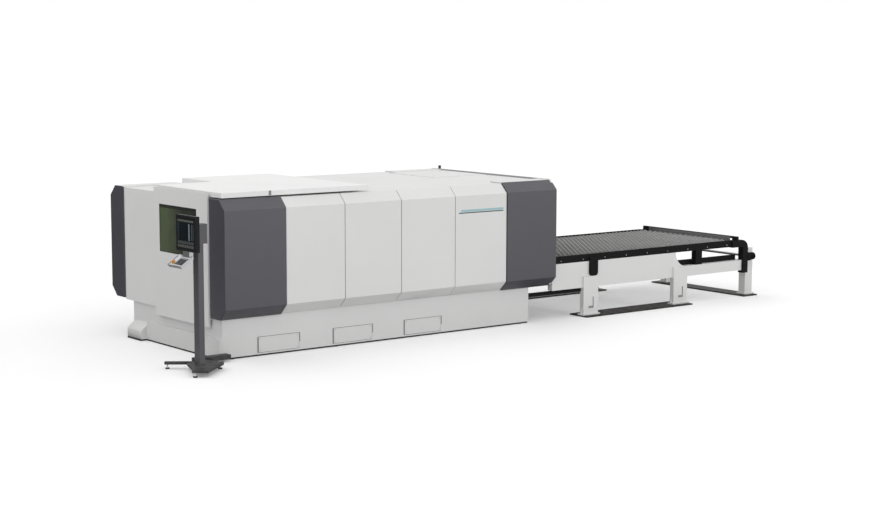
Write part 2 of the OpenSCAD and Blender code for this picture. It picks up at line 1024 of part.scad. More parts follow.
// Pallets: the outer one on the upper level, the inner one on the lower level
end_bar_w = 60;
bar_n = 3;
block_h = 35;
block_w = 56;
slat_end = 30;
tooth_n = 16;
tooth_h = 22;
wheel_w = 50;
wheelset_slots = [6, 38];

slat_pitch = (pallet_l - 2 * slat_end) / (slat_n - 1);

function slat_x(i) = slat_end + i * slat_pitch;
function wheelset_x(k) = slat_x(wheelset_slots[k] + 0.5);

module pallet_frame() {
    difference() {
        union() {
            both_sides() {
                span([0, frame_y0, frame_z], [pallet_l, frame_y0 + frame_w, frame_top]);
                for (k = [0:1])
                    translate([wheelset_x(k) - block_w / 2, frame_y0, frame_top - overrun])
                        cube([block_w, frame_w, block_h + overrun]);
            }
            for (x = [0, pallet_l - end_bar_w])
                span([x, frame_y0, frame_z], [x + end_bar_w, 2 * table_y - frame_y0, frame_top]);
            for (i = [1:bar_n])
                translate([pallet_l * i / (bar_n + 1) - end_bar_w / 2, frame_y0, frame_z])
                    cube([end_bar_w, 2 * (table_y - frame_y0), frame_h]);
        }
        for (k = [0:1])
            bar_y(wheelset_x(k), axle_z, axle_r + shaft_fit, 0, 2 * table_y);
    }
}

// One toothed slat, drawn across the pallet
module slat_outline() {
    w = 2 * (table_y - slat_y0);
    pitch = w / tooth_n;
    teeth = [for (i = [0:tooth_n - 1]) each [[(i + 0.5) * pitch, slat_h], [(i + 1) * pitch, slat_h - tooth_h]]];
    polygon(concat([[0, 0], [0, slat_h - tooth_h]], teeth, [[w, 0]]));
}

module pallet_slats() {
    for (i = [0:slat_n - 1])
        translate([slat_x(i) - slat_t / 2, slat_y0, frame_top])
            rotate([90, 0, 90])
                linear_extrude(slat_t)
                    slat_outline();
}

module wheelset(k, y0) {
    x = wheelset_x(k);
    bar_y(x, axle_z, axle_r, y0, 2 * table_y - y0);
    both_sides()
        bar_y(x, axle_z, wheel_r, y0, y0 + wheel_w);
}

module at_outer() {
    translate([pallet_x, 0, 0])
        children();
}

module at_inner() {
    translate([pallet_x - exchange_travel, 0, -level_drop])
        children();
}

wheel_a_y = (rail_y0 + lip_t + rail_y1 - wheel_w) / 2;
wheel_b_y = (rail_y1 + lower_web + ledge_y1 - wheel_w) / 2;

module pallet_a_frame() {
    color(black_paint)
        at_outer()
            pallet_frame();
}

module pallet_a_slats() {
    color(steel)
        at_outer()
            pallet_slats();
}

module pallet_a_wheelset(k) {
    color(steel)
        at_outer()
            wheelset(k, wheel_a_y);
}

module pallet_b_frame() {
    color(black_paint)
        at_inner()
            pallet_frame();
}

module pallet_b_slats() {
    color(steel)
        at_inner()
            pallet_slats();
}

module pallet_b_wheelset(k) {
    color(steel)
        at_inner()
            wheelset(k, wheel_b_y);
}

// Lift that raises the inner pallet to the cutting level
lift_beam_w = 80;
lift_beam_h = 70;
lift_rail_h = lower_ledge;
rod_foot = 60;

module lift_frame() {
    beam_top_z = lower_track - lift_rail_h;
    y0 = rail_y1 + lower_web + slide_gap;
    color(steel) {
        both_sides()
            span([inner_x0, y0, beam_top_z - overrun], [rail_end_in, ledge_y1, lower_track]);
        for (x = lift_x) {
            span([x - lift_beam_w / 2, y0, beam_top_z - lift_beam_h],
                [x + lift_beam_w / 2, 2 * table_y - y0, beam_top_z]);
            both_sides()
                translate([x, lift_y, rod_foot])
                    cylinder(r = rod_r, h = beam_top_z - lift_beam_h - rod_foot + overrun);
        }
    }
}

// Operator stand
base_z = 56;
base_t = 32;
arm_w = 62;
arm_root = [-445, -156];
arm_tip = [-803, 100];
stand_foot_r = 26;
stand_stem_r = 9;
stand_pad_h = 14;
base_left = [-628, -137];
base_waist = [-752, -483];
base_heel = [-466, -548];
base_right = [-244, -360];
base_corner = [-223, -325];
base_back = [-346, -105];
link_x0 = -395;
link_x1 = 95;
link_y = 42;
link_w = bed_y - link_y;
link_h = 60;
neck_w = 60;
feet = [[-775, 80], [-790, -620], [-265, -305]];

module stand_base() {
    arm = arm_tip - arm_root;
    color(stand_paint) {
        translate([0, 0, base_z])
            linear_extrude(base_t)
                polygon([base_left, base_waist, base_tip, base_low, base_heel, base_right,
                    base_corner, base_back]);
        translate([arm_root[0], arm_root[1], base_z])
            rotate([0, 0, atan2(arm[1], arm[0])])
                translate([0, -arm_w / 2, 0])
                    cube([norm(arm), arm_w, base_t]);
        span([link_x0, arm_root[1], base_z], [link_x0 + neck_w, link_y + link_w, base_z + base_t]);
        span([link_x0, link_y, base_z + base_t - link_h], [link_x1, link_y + link_w, base_z + base_t]);
    }
}

module stand_feet() {
    color(black_paint)
        for (p = feet)
            translate([p[0], p[1], 0]) {
                cylinder(r = stand_foot_r, h = stand_pad_h);
                cylinder(r = stand_stem_r, h = base_z);
            }
}

bracket_out = 56;
bracket_z = 1545;
column_wall = 4;
collar_t = 6;

module stand_column() {
    low = [column_x - column_w / 2, column_y - column_d / 2, base_z + base_t];
    high = [column_x + column_w / 2, column_y + column_d / 2, column_z];
    wall = [column_wall, column_wall, 0];
    color(stand_paint)
        difference() {
            union() {
                span(low, high);
                span([high[0] - overrun, low[1], bracket_z], [high[0] + bracket_out, high[1], column_z]);
            }
            span(low + wall - [0, 0, overrun], high - wall - [0, 0, column_wall]);
        }
    color(stand_paint) {
        for (z = [lug_z, lug_z + lug_t + knuckle_h + 2 * seat_gap])
            pivot_lug(z);
        translate([pivot_x, pivot_y, lug_z])
            cylinder(r = pin_r, h = 2 * lug_t + knuckle_h);
    }
}

module pivot_lug(z) {
    translate([pivot_x, pivot_y, z])
        cylinder(r = pivot_r, h = lug_t);
    span([pivot_x, pivot_y - pivot_r, z], [column_x - column_w / 2 + column_wall / 2, pivot_y + pivot_r, z + lug_t]);
}

// Screen with its keyboard tray, on a vertical pivot in front of the column
pivot_r = 14;
pivot_out = 26;
pivot_x = column_x - column_w / 2 - pivot_out;
pivot_y = column_y;
screen_d = 55;
screen_gap = 4;
screen_x1 = pivot_x - pivot_r - screen_gap;
screen_side = 290;
screen_y0 = pivot_y + screen_side - screen_w;
glass_in = 34;
glass_t = 4;
tray_d = 200;
tray_t = 30;
tray_back_z = 1400;
tray_tilt = 35;
tray_side = 30;
tray_w = 320;
keypad_t = 5;
keypad_in = 26;
button_r = 19;
button_stem_r = 11;
button_h = 16;
button_in = 60;
keypad_w = tray_w - keypad_in - 2 * button_in;
lug_z = 1580;
lug_t = 12;
knuckle_h = 130;
knuckle_w = 20;
pin_r = 7;

// The tray's own frame: X to the operator's side, Z out of its top
module on_tray() {
    translate([screen_x1 - tray_side, screen_y0 + screen_w - tray_side - tray_w, tray_back_z])
        rotate([0, -tray_tilt, 0])
            mirror([1, 0, 0])
                children();
}

module knuckle() {
    z0 = lug_z + lug_t + seat_gap;
    translate([pivot_x, pivot_y, z0])
        cylinder(r = pivot_r, h = knuckle_h);
    span([screen_x1 - overrun, pivot_y - knuckle_w / 2, z0], [pivot_x, pivot_y + knuckle_w / 2, z0 + knuckle_h]);
}

module screen_housing() {
    color("#26272b")
        difference() {
            union() {
                span([screen_x1 - screen_d, screen_y0, screen_z],
                    [screen_x1, screen_y0 + screen_w, screen_z + screen_h]);
                knuckle();
            }
            translate([pivot_x, pivot_y, lug_z])
                cylinder(r = pin_r + shaft_fit, h = 2 * lug_t + knuckle_h);
            span([screen_x1 - screen_d - overrun, screen_y0 + glass_in, screen_z + glass_in],
                [screen_x1 - screen_d + glass_t, screen_y0 + screen_w - glass_in, screen_z + screen_h - glass_in]);
        }
}

module screen_glass() {
    color("#1c2c3a")
        span([screen_x1 - screen_d, screen_y0 + glass_in + pane_gap, screen_z + glass_in + pane_gap],
            [screen_x1 - screen_d + glass_t, screen_y0 + screen_w - glass_in - pane_gap,
                screen_z + screen_h - glass_in - pane_gap]);
}

module keyboard_tray() {
    color("#a9abae")
        difference() {
            union() {
                on_tray()
                    translate([0, 0, -tray_t])
                        cube([tray_d, tray_w, tray_t]);
                span([screen_x1 - screen_d, screen_y0 + screen_w / 3, tray_back_z - tray_t],
                    [screen_x1, screen_y0 + 2 * screen_w / 3, screen_z]);
            }
            on_tray()
                translate([tray_d - button_in, tray_w - button_in, -tray_t - overrun])
                    cylinder(r = button_stem_r + shaft_fit, h = tray_t + 2 * overrun);
        }
}

module keypad() {
    color("#33353a")
        on_tray()
            translate([keypad_in * 2, keypad_in, 0])
                cube([tray_d - 3 * keypad_in, keypad_w, keypad_t]);
}

module estop_button() {
    color("#e08a1e")
        on_tray()
            translate([tray_d - button_in, tray_w - button_in, 0]) {
                translate([0, 0, button_h / 2])
                    cylinder(r = button_r, h = button_h);
                translate([0, 0, -tray_t])
                    cylinder(r = button_stem_r, h = tray_t + button_h);
            }
}

placed() machine_bed();
placed() levelling_pads();
placed() bed_covers();
placed() end_duct();
placed() outlet_boot();
placed() front_left_cap();
placed() front_right_cap();
placed() rear_left_cap();
placed() rear_right_cap();
placed() front_panel(1);  // front_panel_1
placed() front_panel(2);  // front_panel_2
placed() front_panel(3);  // front_panel_3
placed() front_panel(4);  // front_panel_4
placed() rear_panels();
placed() left_wall();
placed() end_door();
placed() door_window();
placed() door_track();
placed() right_wall();
placed() loading_door();
placed() roof_panel();
placed() roof_hatch();
placed() roof_hood();
placed() roof_plate();
placed() roof_gland();
placed() guide_rails();
placed() bridge_beam();
placed() y_carriage();
placed() cutting_head();
placed() nozzle();
placed() upper_rails();
placed() lift_frame();
placed() scrap_tray();
placed() laser_source();
placed() control_cabinet();
placed() table_front_frame();
placed() table_rear_frame();
placed() table_cross_beams();
placed() floor_plates();
placed() lower_rails();
placed() rail_posts();
placed() table_guard();
placed() drive_shaft();
placed() drive_motor();
placed() pallet_a_frame();
placed() pallet_a_slats();
placed() pallet_a_wheelset(0);  // pallet_a_wheelset_1
placed() pallet_a_wheelset(1);  // pallet_a_wheelset_2
placed() pallet_b_frame();
placed() pallet_b_slats();
placed() pallet_b_wheelset(0);  // pallet_b_wheelset_1
placed() pallet_b_wheelset(1);  // pallet_b_wheelset_2
placed() stand_base();
placed() stand_feet();
placed() stand_column();
placed() screen_housing();
placed() screen_glass();
placed() keyboard_tray();
placed() keypad();
placed() estop_button();
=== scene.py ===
# %% [markdown]
# # An enclosed laser cutter with its exchange table
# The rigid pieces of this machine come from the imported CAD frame, in metres. This script gives
# every one of them a painted, brushed or rubber finish, adds the small fittings that a designer
# leaves out of the solids, and sets up the light and the camera of a studio picture.

# %% Load the frame
import json
import math

import bmesh
import bpy
from mathutils import Matrix, Vector


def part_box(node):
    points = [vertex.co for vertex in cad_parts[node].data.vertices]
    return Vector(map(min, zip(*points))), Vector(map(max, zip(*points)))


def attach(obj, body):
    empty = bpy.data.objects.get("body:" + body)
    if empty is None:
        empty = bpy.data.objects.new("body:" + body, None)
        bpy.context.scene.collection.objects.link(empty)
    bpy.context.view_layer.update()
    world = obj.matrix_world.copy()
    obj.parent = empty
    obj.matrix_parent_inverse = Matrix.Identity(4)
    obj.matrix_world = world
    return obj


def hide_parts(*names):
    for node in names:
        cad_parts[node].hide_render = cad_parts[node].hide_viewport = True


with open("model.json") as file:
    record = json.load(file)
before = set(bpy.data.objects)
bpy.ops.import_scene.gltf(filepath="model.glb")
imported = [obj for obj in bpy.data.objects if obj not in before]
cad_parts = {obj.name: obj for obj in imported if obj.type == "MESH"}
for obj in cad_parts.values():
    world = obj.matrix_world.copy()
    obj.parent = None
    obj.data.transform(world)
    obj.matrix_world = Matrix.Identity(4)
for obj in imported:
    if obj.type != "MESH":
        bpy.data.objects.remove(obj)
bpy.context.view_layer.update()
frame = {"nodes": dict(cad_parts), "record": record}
nodes = frame["nodes"]

# %% [markdown]
# ## A common zero for all fittings
# Every fitting is placed from the lower front left corner of the enclosure, because that is the
# corner a fitter on site would measure from. The frame itself is centred under the whole machine,
# so one small function turns site measures into frame points.

# %% Site measures
MM = 0.001
cap_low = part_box("front_left_cap")[0]
zero = Vector((cap_low[0], cap_low[1], 0.0))


def site(x, y, z):
    """A point measured in millimetres from the enclosure's front left corner on the floor."""
    return zero + Vector((x, y, z)) * MM


def site_box(node):
    """Lowest and highest corner of a CAD node in site millimetres."""
    low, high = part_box(node)
    return [(Vector(c) - zero) / MM for c in (low, high)]


print("enclosure corner at", [round(v, 3) for v in zero])

# %% [markdown]
# ## Building blocks
# A fitting is made in a bmesh, which is Blender's editable mesh in memory. Boxes and discs start
# from the create operators and are then moved to their place; a bevel softens their edges, because
# no real sheet or casting has a perfectly sharp one. The finished mesh becomes an object that
# rides on a body.

# %% Mesh helpers
def add_block(bm, low, high, soft):
    """A block between two site corners, with its edges bevelled by soft millimetres."""
    low, high = Vector(low), Vector(high)
    made = bmesh.ops.create_cube(bm, size=1.0)["verts"]
    bmesh.ops.scale(bm, vec=(high - low) * MM, verts=made)
    bmesh.ops.translate(bm, vec=site(*((low + high) / 2)), verts=made)
    edges = list(dict.fromkeys(e for v in made for e in v.link_edges))
    bmesh.ops.bevel(bm, geom=edges, offset=soft * MM, affect="EDGES", segments=2, profile=0.5,
                    material=-1)


AXIS_TURNS = {
    "x": Matrix.Rotation(math.radians(90), 3, "Y"),
    "y": Matrix.Rotation(math.radians(-90), 3, "X"),
    "-y": Matrix.Rotation(math.radians(90), 3, "X"),
    "z": Matrix.Identity(3),
}


def add_disc(bm, centre, axis, radius, height, sides, top=None):
    """A round or many-sided peg that stands on centre and points along axis, in site millimetres."""
    top = radius if top is None else top
    made = bmesh.ops.create_cone(bm, cap_ends=True, segments=sides, radius1=radius * MM,
                                 radius2=top * MM, depth=height * MM)["verts"]
    bmesh.ops.translate(bm, vec=(0, 0, height * MM / 2), verts=made)
    bmesh.ops.rotate(bm, matrix=AXIS_TURNS[axis], verts=made)
    bmesh.ops.translate(bm, vec=site(*centre), verts=made)


def finish_piece(name, bm, material, body="machine"):
    """Turns a bmesh into an object with a finish that rides on a CAD body."""
    bmesh.ops.recalc_face_normals(bm, faces=bm.faces)
    mesh = bpy.data.meshes.new(name)
    bm.to_mesh(mesh)
    bm.free()
    mesh.materials.append(material)
    piece = bpy.data.objects.new(name, mesh)
    bpy.context.scene.collection.objects.link(piece)
    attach(piece, body)
    print("piece:", name, len(mesh.polygons), "faces on", body)
    return piece


print("helpers: block, disc, finished piece")

# %% [markdown]
# ## Shared surface effects
# Powder coat is never one flat colour: it has a fine orange-peel relief, a slow drift of tone and
# a little dust near the floor. Each effect is a node group, built once, so every paint on the
# machine shares the same behaviour with its own numbers. A few small helpers keep the node work
# readable.

# %% Node helpers
NOISE_SPAN = (0.3, 0.7)


def new_group(name, inputs, outputs):
    """A shader node group with named sockets, and its input and output nodes."""
    group = bpy.data.node_groups.new(name, "ShaderNodeTree")
    for label, kind, value in inputs:
        socket = group.interface.new_socket(name=label, in_out="INPUT", socket_type=kind)
        if value is not None:
            socket.default_value = value
    for label, kind in outputs:
        group.interface.new_socket(name=label, in_out="OUTPUT", socket_type=kind)
    return group, group.nodes.new("NodeGroupInput"), group.nodes.new("NodeGroupOutput")


def feed(tree, socket, given):
    """Links a socket to another one, or sets its value."""
    if isinstance(given, bpy.types.NodeSocket):
        tree.links.new(given, socket)
    else:
        socket.default_value = given


def add_noise(tree, vector, scale, detail, rough=0.5):
    """A noise texture on the given coordinates."""
    noise = tree.nodes.new("ShaderNodeTexNoise")
    noise.inputs["Detail"].default_value = detail
    noise.inputs["Roughness"].default_value = rough
    tree.links.new(vector, noise.inputs["Vector"])
    feed(tree, noise.inputs["Scale"], scale)
    return noise.outputs["Fac"]


def add_range(tree, value, from_low, from_high, to_low, to_high):
    """Maps a value from one range to another and clamps it."""
    node = tree.nodes.new("ShaderNodeMapRange")
    for label, given in (("Value", value), ("From Min", from_low), ("From Max", from_high),
                         ("To Min", to_low), ("To Max", to_high)):
        feed(tree, node.inputs[label], given)
    return node.outputs["Result"]


def spread(tree, noise, low, high):
    """Spreads a noise, whose values keep near their middle, over a range."""
    return add_range(tree, noise, *NOISE_SPAN, low, high)


def add_math(tree, kind, a, b):
    """One arithmetic step between two values or sockets."""
    node = tree.nodes.new("ShaderNodeMath")
    node.operation = kind
    for i, given in enumerate((a, b)):
        feed(tree, node.inputs[i], given)
    return node.outputs["Value"]


def add_mix(tree, factor, a, b, blend="MIX"):
    """A colour mix of two colours or sockets."""
    node = tree.nodes.new("ShaderNodeMix")
    node.data_type = "RGBA"
    node.blend_type = blend
    for socket, given in ((node.inputs[0], factor), (node.inputs[6], a), (node.inputs[7], b)):
        feed(tree, socket, given)
    return node.outputs[2]


def add_shade(tree, colour, value):
    """A colour multiplied by one grey value."""
    grey = tree.nodes.new("ShaderNodeCombineColor")
    for channel in range(3):
        tree.links.new(value, grey.inputs[channel])
    return add_mix(tree, 1.0, colour, grey.outputs["Color"], "MULTIPLY")


def split_axes(tree, vector):
    """The X, Y and Z values of a vector, by name."""
    node = tree.nodes.new("ShaderNodeSeparateXYZ")
    tree.links.new(vector, node.inputs["Vector"])
    return node.outputs


def add_aim(tree, vector, side):
    """How far a vector reaches towards a side."""
    node = tree.nodes.new("ShaderNodeVectorMath")
    node.operation = "DOT_PRODUCT"
    node.inputs[1].default_value = side
    tree.links.new(vector, node.inputs[0])
    return node.outputs["Value"]


print("helpers: group, noise, range, math, mix, shade, axes, aim")

# %% Orange peel of powder coat
DRIFT_SCALE, SMEAR_SCALE, SMEAR = 1.3, 7.0, 0.06
peel, g_in, g_out = new_group(
    "powder_coat_peel",
    [("Vector", "NodeSocketVector", None), ("Color", "NodeSocketColor", None),
     ("Roughness", "NodeSocketFloat", 0.4), ("Drift", "NodeSocketFloat", 0.03),
     ("Grain", "NodeSocketFloat", 350.0)],
    [("Color", "NodeSocketColor"), ("Roughness", "NodeSocketFloat"), ("Height", "NodeSocketFloat")])
slow = add_noise(peel, g_in.outputs["Vector"], DRIFT_SCALE, 2.0)
tone_low = add_math(peel, "SUBTRACT", 1.0, g_in.outputs["Drift"])
tone = spread(peel, slow, tone_low, 1.0)
peel.links.new(add_shade(peel, g_in.outputs["Color"], tone), g_out.inputs["Color"])
smear = spread(peel, add_noise(peel, g_in.outputs["Vector"], SMEAR_SCALE, 4.0), -SMEAR, SMEAR)
peel.links.new(add_math(peel, "ADD", g_in.outputs["Roughness"], smear), g_out.inputs["Roughness"])
peel.links.new(add_noise(peel, g_in.outputs["Vector"], g_in.outputs["Grain"], 2.0),
               g_out.inputs["Height"])
print("group:", peel.name)

# %% Dust that gathers near the floor
DUST_SCALE, DUST_SPAN = 9.0, (0.35, 0.75)
dust, g_in, g_out = new_group(
    "floor_dust",
    [("Vector", "NodeSocketVector", None), ("Color", "NodeSocketColor", None),
     ("Dust Color", "NodeSocketColor", (0.45, 0.43, 0.40, 1.0)),
     ("Reach", "NodeSocketFloat", 0.35), ("Amount", "NodeSocketFloat", 0.25)],
    [("Color", "NodeSocketColor")])
above_floor = split_axes(dust, g_in.outputs["Vector"])["Z"]
low_share = add_range(dust, above_floor, 0.0, g_in.outputs["Reach"], 1.0, 0.0)
flecks = add_noise(dust, g_in.outputs["Vector"], DUST_SCALE, 5.0)
patches = add_range(dust, flecks, *DUST_SPAN, 0.2, 1.0)
mask = add_math(dust, "MULTIPLY", add_math(dust, "MULTIPLY", low_share, patches),
                g_in.outputs["Amount"])
dust.links.new(add_mix(dust, mask, g_in.outputs["Color"], g_in.outputs["Dust Color"]),
               g_out.inputs["Color"])
print("group:", dust.name)

# %% Brush lines of rolled and ground steel
LINE_SCALE, LINE_SMEAR = 6.0, 0.08
brush, g_in, g_out = new_group(
    "brush_lines",
    [("Vector", "NodeSocketVector", None), ("Color", "NodeSocketColor", None),
     ("Roughness", "NodeSocketFloat", 0.35), ("Stretch", "NodeSocketVector", (1.0, 60.0, 60.0)),
     ("Contrast", "NodeSocketFloat", 0.2)],
    [("Color", "NodeSocketColor"), ("Roughness", "NodeSocketFloat"), ("Height", "NodeSocketFloat")])
scaled = brush.nodes.new("ShaderNodeVectorMath")
scaled.operation = "MULTIPLY"
brush.links.new(g_in.outputs["Vector"], scaled.inputs[0])
brush.links.new(g_in.outputs["Stretch"], scaled.inputs[1])
lines = add_noise(brush, scaled.outputs["Vector"], LINE_SCALE, 6.0, 0.6)
shade_low = add_math(brush, "SUBTRACT", 1.0, g_in.outputs["Contrast"])
shade = spread(brush, lines, shade_low, 1.0)
brush.links.new(add_shade(brush, g_in.outputs["Color"], shade), g_out.inputs["Color"])
lift = spread(brush, lines, LINE_SMEAR, -LINE_SMEAR)
brush.links.new(add_math(brush, "ADD", g_in.outputs["Roughness"], lift), g_out.inputs["Roughness"])
brush.links.new(lines, g_out.inputs["Height"])
print("group:", brush.name)

# %% [markdown]
# ## Finishes
# The paints differ in colour, gloss and dust. The steels differ in the direction of their brush
# lines. Each material keeps its shader to itself and only takes colours and values from the
# groups.

# %% Material helpers
PEEL_BUMP, BRUSH_BUMP = (0.06, 0.0005), (0.08, 0.0004)


def new_material(name, metallic=0.0, gloss=0.5):
    """A material with a principled shader and object coordinates."""
    material = bpy.data.materials.new(name)
    material.use_nodes = True
    tree = material.node_tree
    shader = tree.nodes["Principled BSDF"]
    shader.inputs["Metallic"].default_value = metallic
    shader.inputs["Specular IOR Level"].default_value = gloss
    where = tree.nodes.new("ShaderNodeTexCoord").outputs["Object"]
    return material, tree, shader, where


def place_group(tree, group, vector, **values):
    """A group node with its vector linked and its other inputs set by name."""
    node = tree.nodes.new("ShaderNodeGroup")
    node.node_tree = group
    tree.links.new(vector, node.inputs["Vector"])
    for label, given in values.items():
        feed(tree, node.inputs[label], given)
    return node


def add_bump(tree, shader, height, strength, distance):
    """Feeds a height through a bump node into the shader's normal."""
    node = tree.nodes.new("ShaderNodeBump")
    node.inputs["Strength"].default_value = strength
    node.inputs["Distance"].default_value = distance
    tree.links.new(height, node.inputs["Height"])
    tree.links.new(node.outputs["Normal"], shader.inputs["Normal"])


def powder_coat(name, colour, rough=0.42, drift=0.03, dust_amount=0.15, gloss=0.5):
    """Powder-coated sheet: peel relief, slow tone drift and floor dust."""
    material, tree, shader, where = new_material(name, gloss=gloss)
    coat = place_group(tree, peel, where, Color=(*colour, 1.0), Roughness=rough, Drift=drift)
    dirty = place_group(tree, dust, where, Color=coat.outputs["Color"], Amount=dust_amount)
    tree.links.new(dirty.outputs["Color"], shader.inputs["Base Color"])
    tree.links.new(coat.outputs["Roughness"], shader.inputs["Roughness"])
    add_bump(tree, shader, coat.outputs["Height"], *PEEL_BUMP)
    return material


def brushed_metal(name, colour, stretch, rough=0.36, contrast=0.25):
    """Bare metal with brush lines along the axis whose stretch is 1."""
    material, tree, shader, where = new_material(name, metallic=1.0)
    coat = place_group(tree, brush, where, Color=(*colour, 1.0), Roughness=rough, Stretch=stretch,
                       Contrast=contrast)
    tree.links.new(coat.outputs["Color"], shader.inputs["Base Color"])
    tree.links.new(coat.outputs["Roughness"], shader.inputs["Roughness"])
    add_bump(tree, shader, coat.outputs["Height"], *BRUSH_BUMP)
    return material


print("helpers: powder coat, brushed metal")

# %% Paints
white_coat = powder_coat("white_powder_coat", (0.73, 0.73, 0.725), rough=0.45, dust_amount=0.12)
dark_coat = powder_coat("dark_grey_powder_coat", (0.0540, 0.0522, 0.0655), rough=0.38, drift=0.05,
                        gloss=1.0)
black_coat = powder_coat("black_powder_coat", (0.011, 0.011, 0.011), rough=0.5, drift=0.08,
                         gloss=0.08)
stand_coat = powder_coat("stand_grey_powder_coat", (0.0540, 0.0525, 0.0630), rough=0.40, drift=0.05,
                         gloss=1.0)
# Painted shade: the bed's white is a darker copy of the panel white, also used on the boot, duct and
# covers
painted_shade_bed_coat = powder_coat("painted_shade_bed_white_coat", (0.687, 0.687, 0.684), rough=0.45, dust_amount=0.12)
# Painted light: the lids on the roof take a lighter copy of the panel white
painted_light_lid_coat = powder_coat("painted_light_lid_white_coat", (0.83, 0.83, 0.825), rough=0.45, dust_amount=0.1)
base_coat = powder_coat("stand_base_coat", (0.030, 0.029, 0.031), rough=0.5, drift=0.06, gloss=0.25)
# Grey trim paint, also used for the painted shade strips at the roof wall and the bed covers
trim_and_shade_grey = powder_coat("trim_and_shade_grey_coat", (0.27, 0.27, 0.275), rough=0.5, drift=0.05)
teal_light = powder_coat("teal_light_film", (0.33, 0.53, 0.56), rough=0.4, drift=0.04)
teal_film = powder_coat("teal_stripe_film", (0.030, 0.070, 0.080), rough=0.35, drift=0.04)
head_coat = powder_coat("head_cover_coat", (0.55, 0.55, 0.56), rough=0.35)
print("paints: white, bed and lid white, dark grey, black, stand greys, trim grey, teal, head")

# %% Bare metals
ALONG_X, ALONG_Y, ALONG_Z = (1.0, 60.0, 60.0), (60.0, 1.0, 60.0), (60.0, 60.0, 1.0)
rail_steel = brushed_metal("ground_steel", (0.48, 0.48, 0.49), ALONG_X)
plate_steel = brushed_metal("plate_steel", (0.42, 0.42, 0.43), ALONG_Y, rough=0.42)
tray_metal = brushed_metal("tray_aluminium", (0.62, 0.62, 0.64), ALONG_Y, rough=0.34, contrast=0.12)
nozzle_brass = brushed_metal("turned_brass", (0.72, 0.50, 0.22), ALONG_Z, rough=0.25)
bolt_zinc = brushed_metal("zinc_bolt", (0.55, 0.55, 0.56), (40.0, 40.0, 1.0), rough=0.38)
print("metals: rail, plate, tray, brass, zinc")

# %% [markdown]
# ## Support slats
# The slats are thin sheet strips that the beam nicks on every job. Mill scale makes them dull
# grey, and slag and heat brown the tips. Tone follows the height of a point above the slat's foot,
# so the stain sits on the teeth and not on the sides.

# %% Slat finish
SLAT_SCALE, SLAT_SOOT = (0.50, 0.50, 0.50, 1.0), (0.20, 0.20, 0.20, 1.0)
SLAT_BURN = (0.40, 0.385, 0.37, 1.0)
SLAT_BUMP = (0.25, 0.001)
SOOT_MOST, BURN_FROM, BURN_MOST = 0.55, 0.45, 0.65
CLEAN_END = 0.5


def slat_finish(name, foot_z, height, soot_x):
    """Scaled sheet steel, browned towards the tips of the teeth and sooted towards the machine."""
    material, tree, shader, where = new_material(name, gloss=0.3)
    coat = place_group(tree, brush, where, Color=SLAT_SCALE, Roughness=0.6,
                       Stretch=(20.0, 1.0, 20.0), Contrast=0.3)
    axes = split_axes(tree, where)
    sooted = add_range(tree, axes["X"], soot_x[0], soot_x[1], SOOT_MOST, 0.0)
    steel = add_mix(tree, sooted, coat.outputs["Color"], SLAT_SOOT)
    rise = add_range(tree, axes["Z"], foot_z + height * BURN_FROM, foot_z + height, 0.0, BURN_MOST)
    spots = add_range(tree, add_noise(tree, where, 28.0, 5.0), 0.4, 0.7, 0.15, 1.0)
    burnt = add_math(tree, "MULTIPLY", rise, spots)
    tree.links.new(add_mix(tree, burnt, steel, SLAT_BURN), shader.inputs["Base Color"])
    tree.links.new(coat.outputs["Roughness"], shader.inputs["Roughness"])
    add_bump(tree, shader, coat.outputs["Height"], *SLAT_BUMP)
    return material


slat_finishes = {}
for pallet in ("pallet_a_slats", "pallet_b_slats"):
    low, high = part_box(pallet)
    slat_finishes[pallet] = slat_finish(pallet + "_scale", low[2], high[2] - low[2],
                                        (low[0], high[0] - CLEAN_END))
print("slat finishes:", list(slat_finishes))

# %% [markdown]
# ## Rubber and plastics
# Moulded pieces share the relief of the paints with a finer grain, the trace of an eroded mould.
# The display tones are plastics as well: they belong to the tiles that make the picture on the
# screen.

# %% Moulded finishes
MOULD_GRAIN, MOULD_DRIFT, MOULD_DEPTH = 900.0, 0.08, 0.0004


def moulded(name, colour, rough, strength=0.12, gloss=0.5):
    """Moulded rubber or plastic with a fine eroded texture."""
    material, tree, shader, where = new_material(name, gloss=gloss)
    coat = place_group(tree, peel, where, Color=(*colour, 1.0), Roughness=rough, Drift=MOULD_DRIFT,
                       Grain=MOULD_GRAIN)
    tree.links.new(coat.outputs["Color"], shader.inputs["Base Color"])
    tree.links.new(coat.outputs["Roughness"], shader.inputs["Roughness"])
    add_bump(tree, shader, coat.outputs["Height"], strength, MOULD_DEPTH)
    return material


pad_rubber = moulded("pad_rubber", (0.018, 0.018, 0.018), 0.75)
seal_rubber = moulded("seal_rubber", (0.03, 0.03, 0.032), 0.65)
screen_plastic = moulded("screen_housing_plastic", (0.012, 0.0125, 0.014), 0.48, gloss=0.15)
key_plastic = moulded("key_plastic", (0.035, 0.036, 0.042), 0.5)
key_light = moulded("light_key_plastic", (0.30, 0.31, 0.33), 0.5)
stop_orange = moulded("stop_button_orange", (0.78, 0.24, 0.02), 0.32, strength=0.04)
collar_yellow = moulded("collar_yellow", (0.80, 0.52, 0.04), 0.38, strength=0.04)
display_tones = {
    name: moulded(name, colour, rough, strength=0.02, gloss=0.2) for name, colour, rough in (
        ("display_grey", (0.105, 0.105, 0.090), 0.35), ("display_blue", (0.030, 0.038, 0.046), 0.3),
        ("display_light", (0.21, 0.26, 0.30), 0.3), ("display_dim", (0.075, 0.078, 0.080), 0.35))}
print("plastics, rubbers and", len(display_tones), "display tones made")
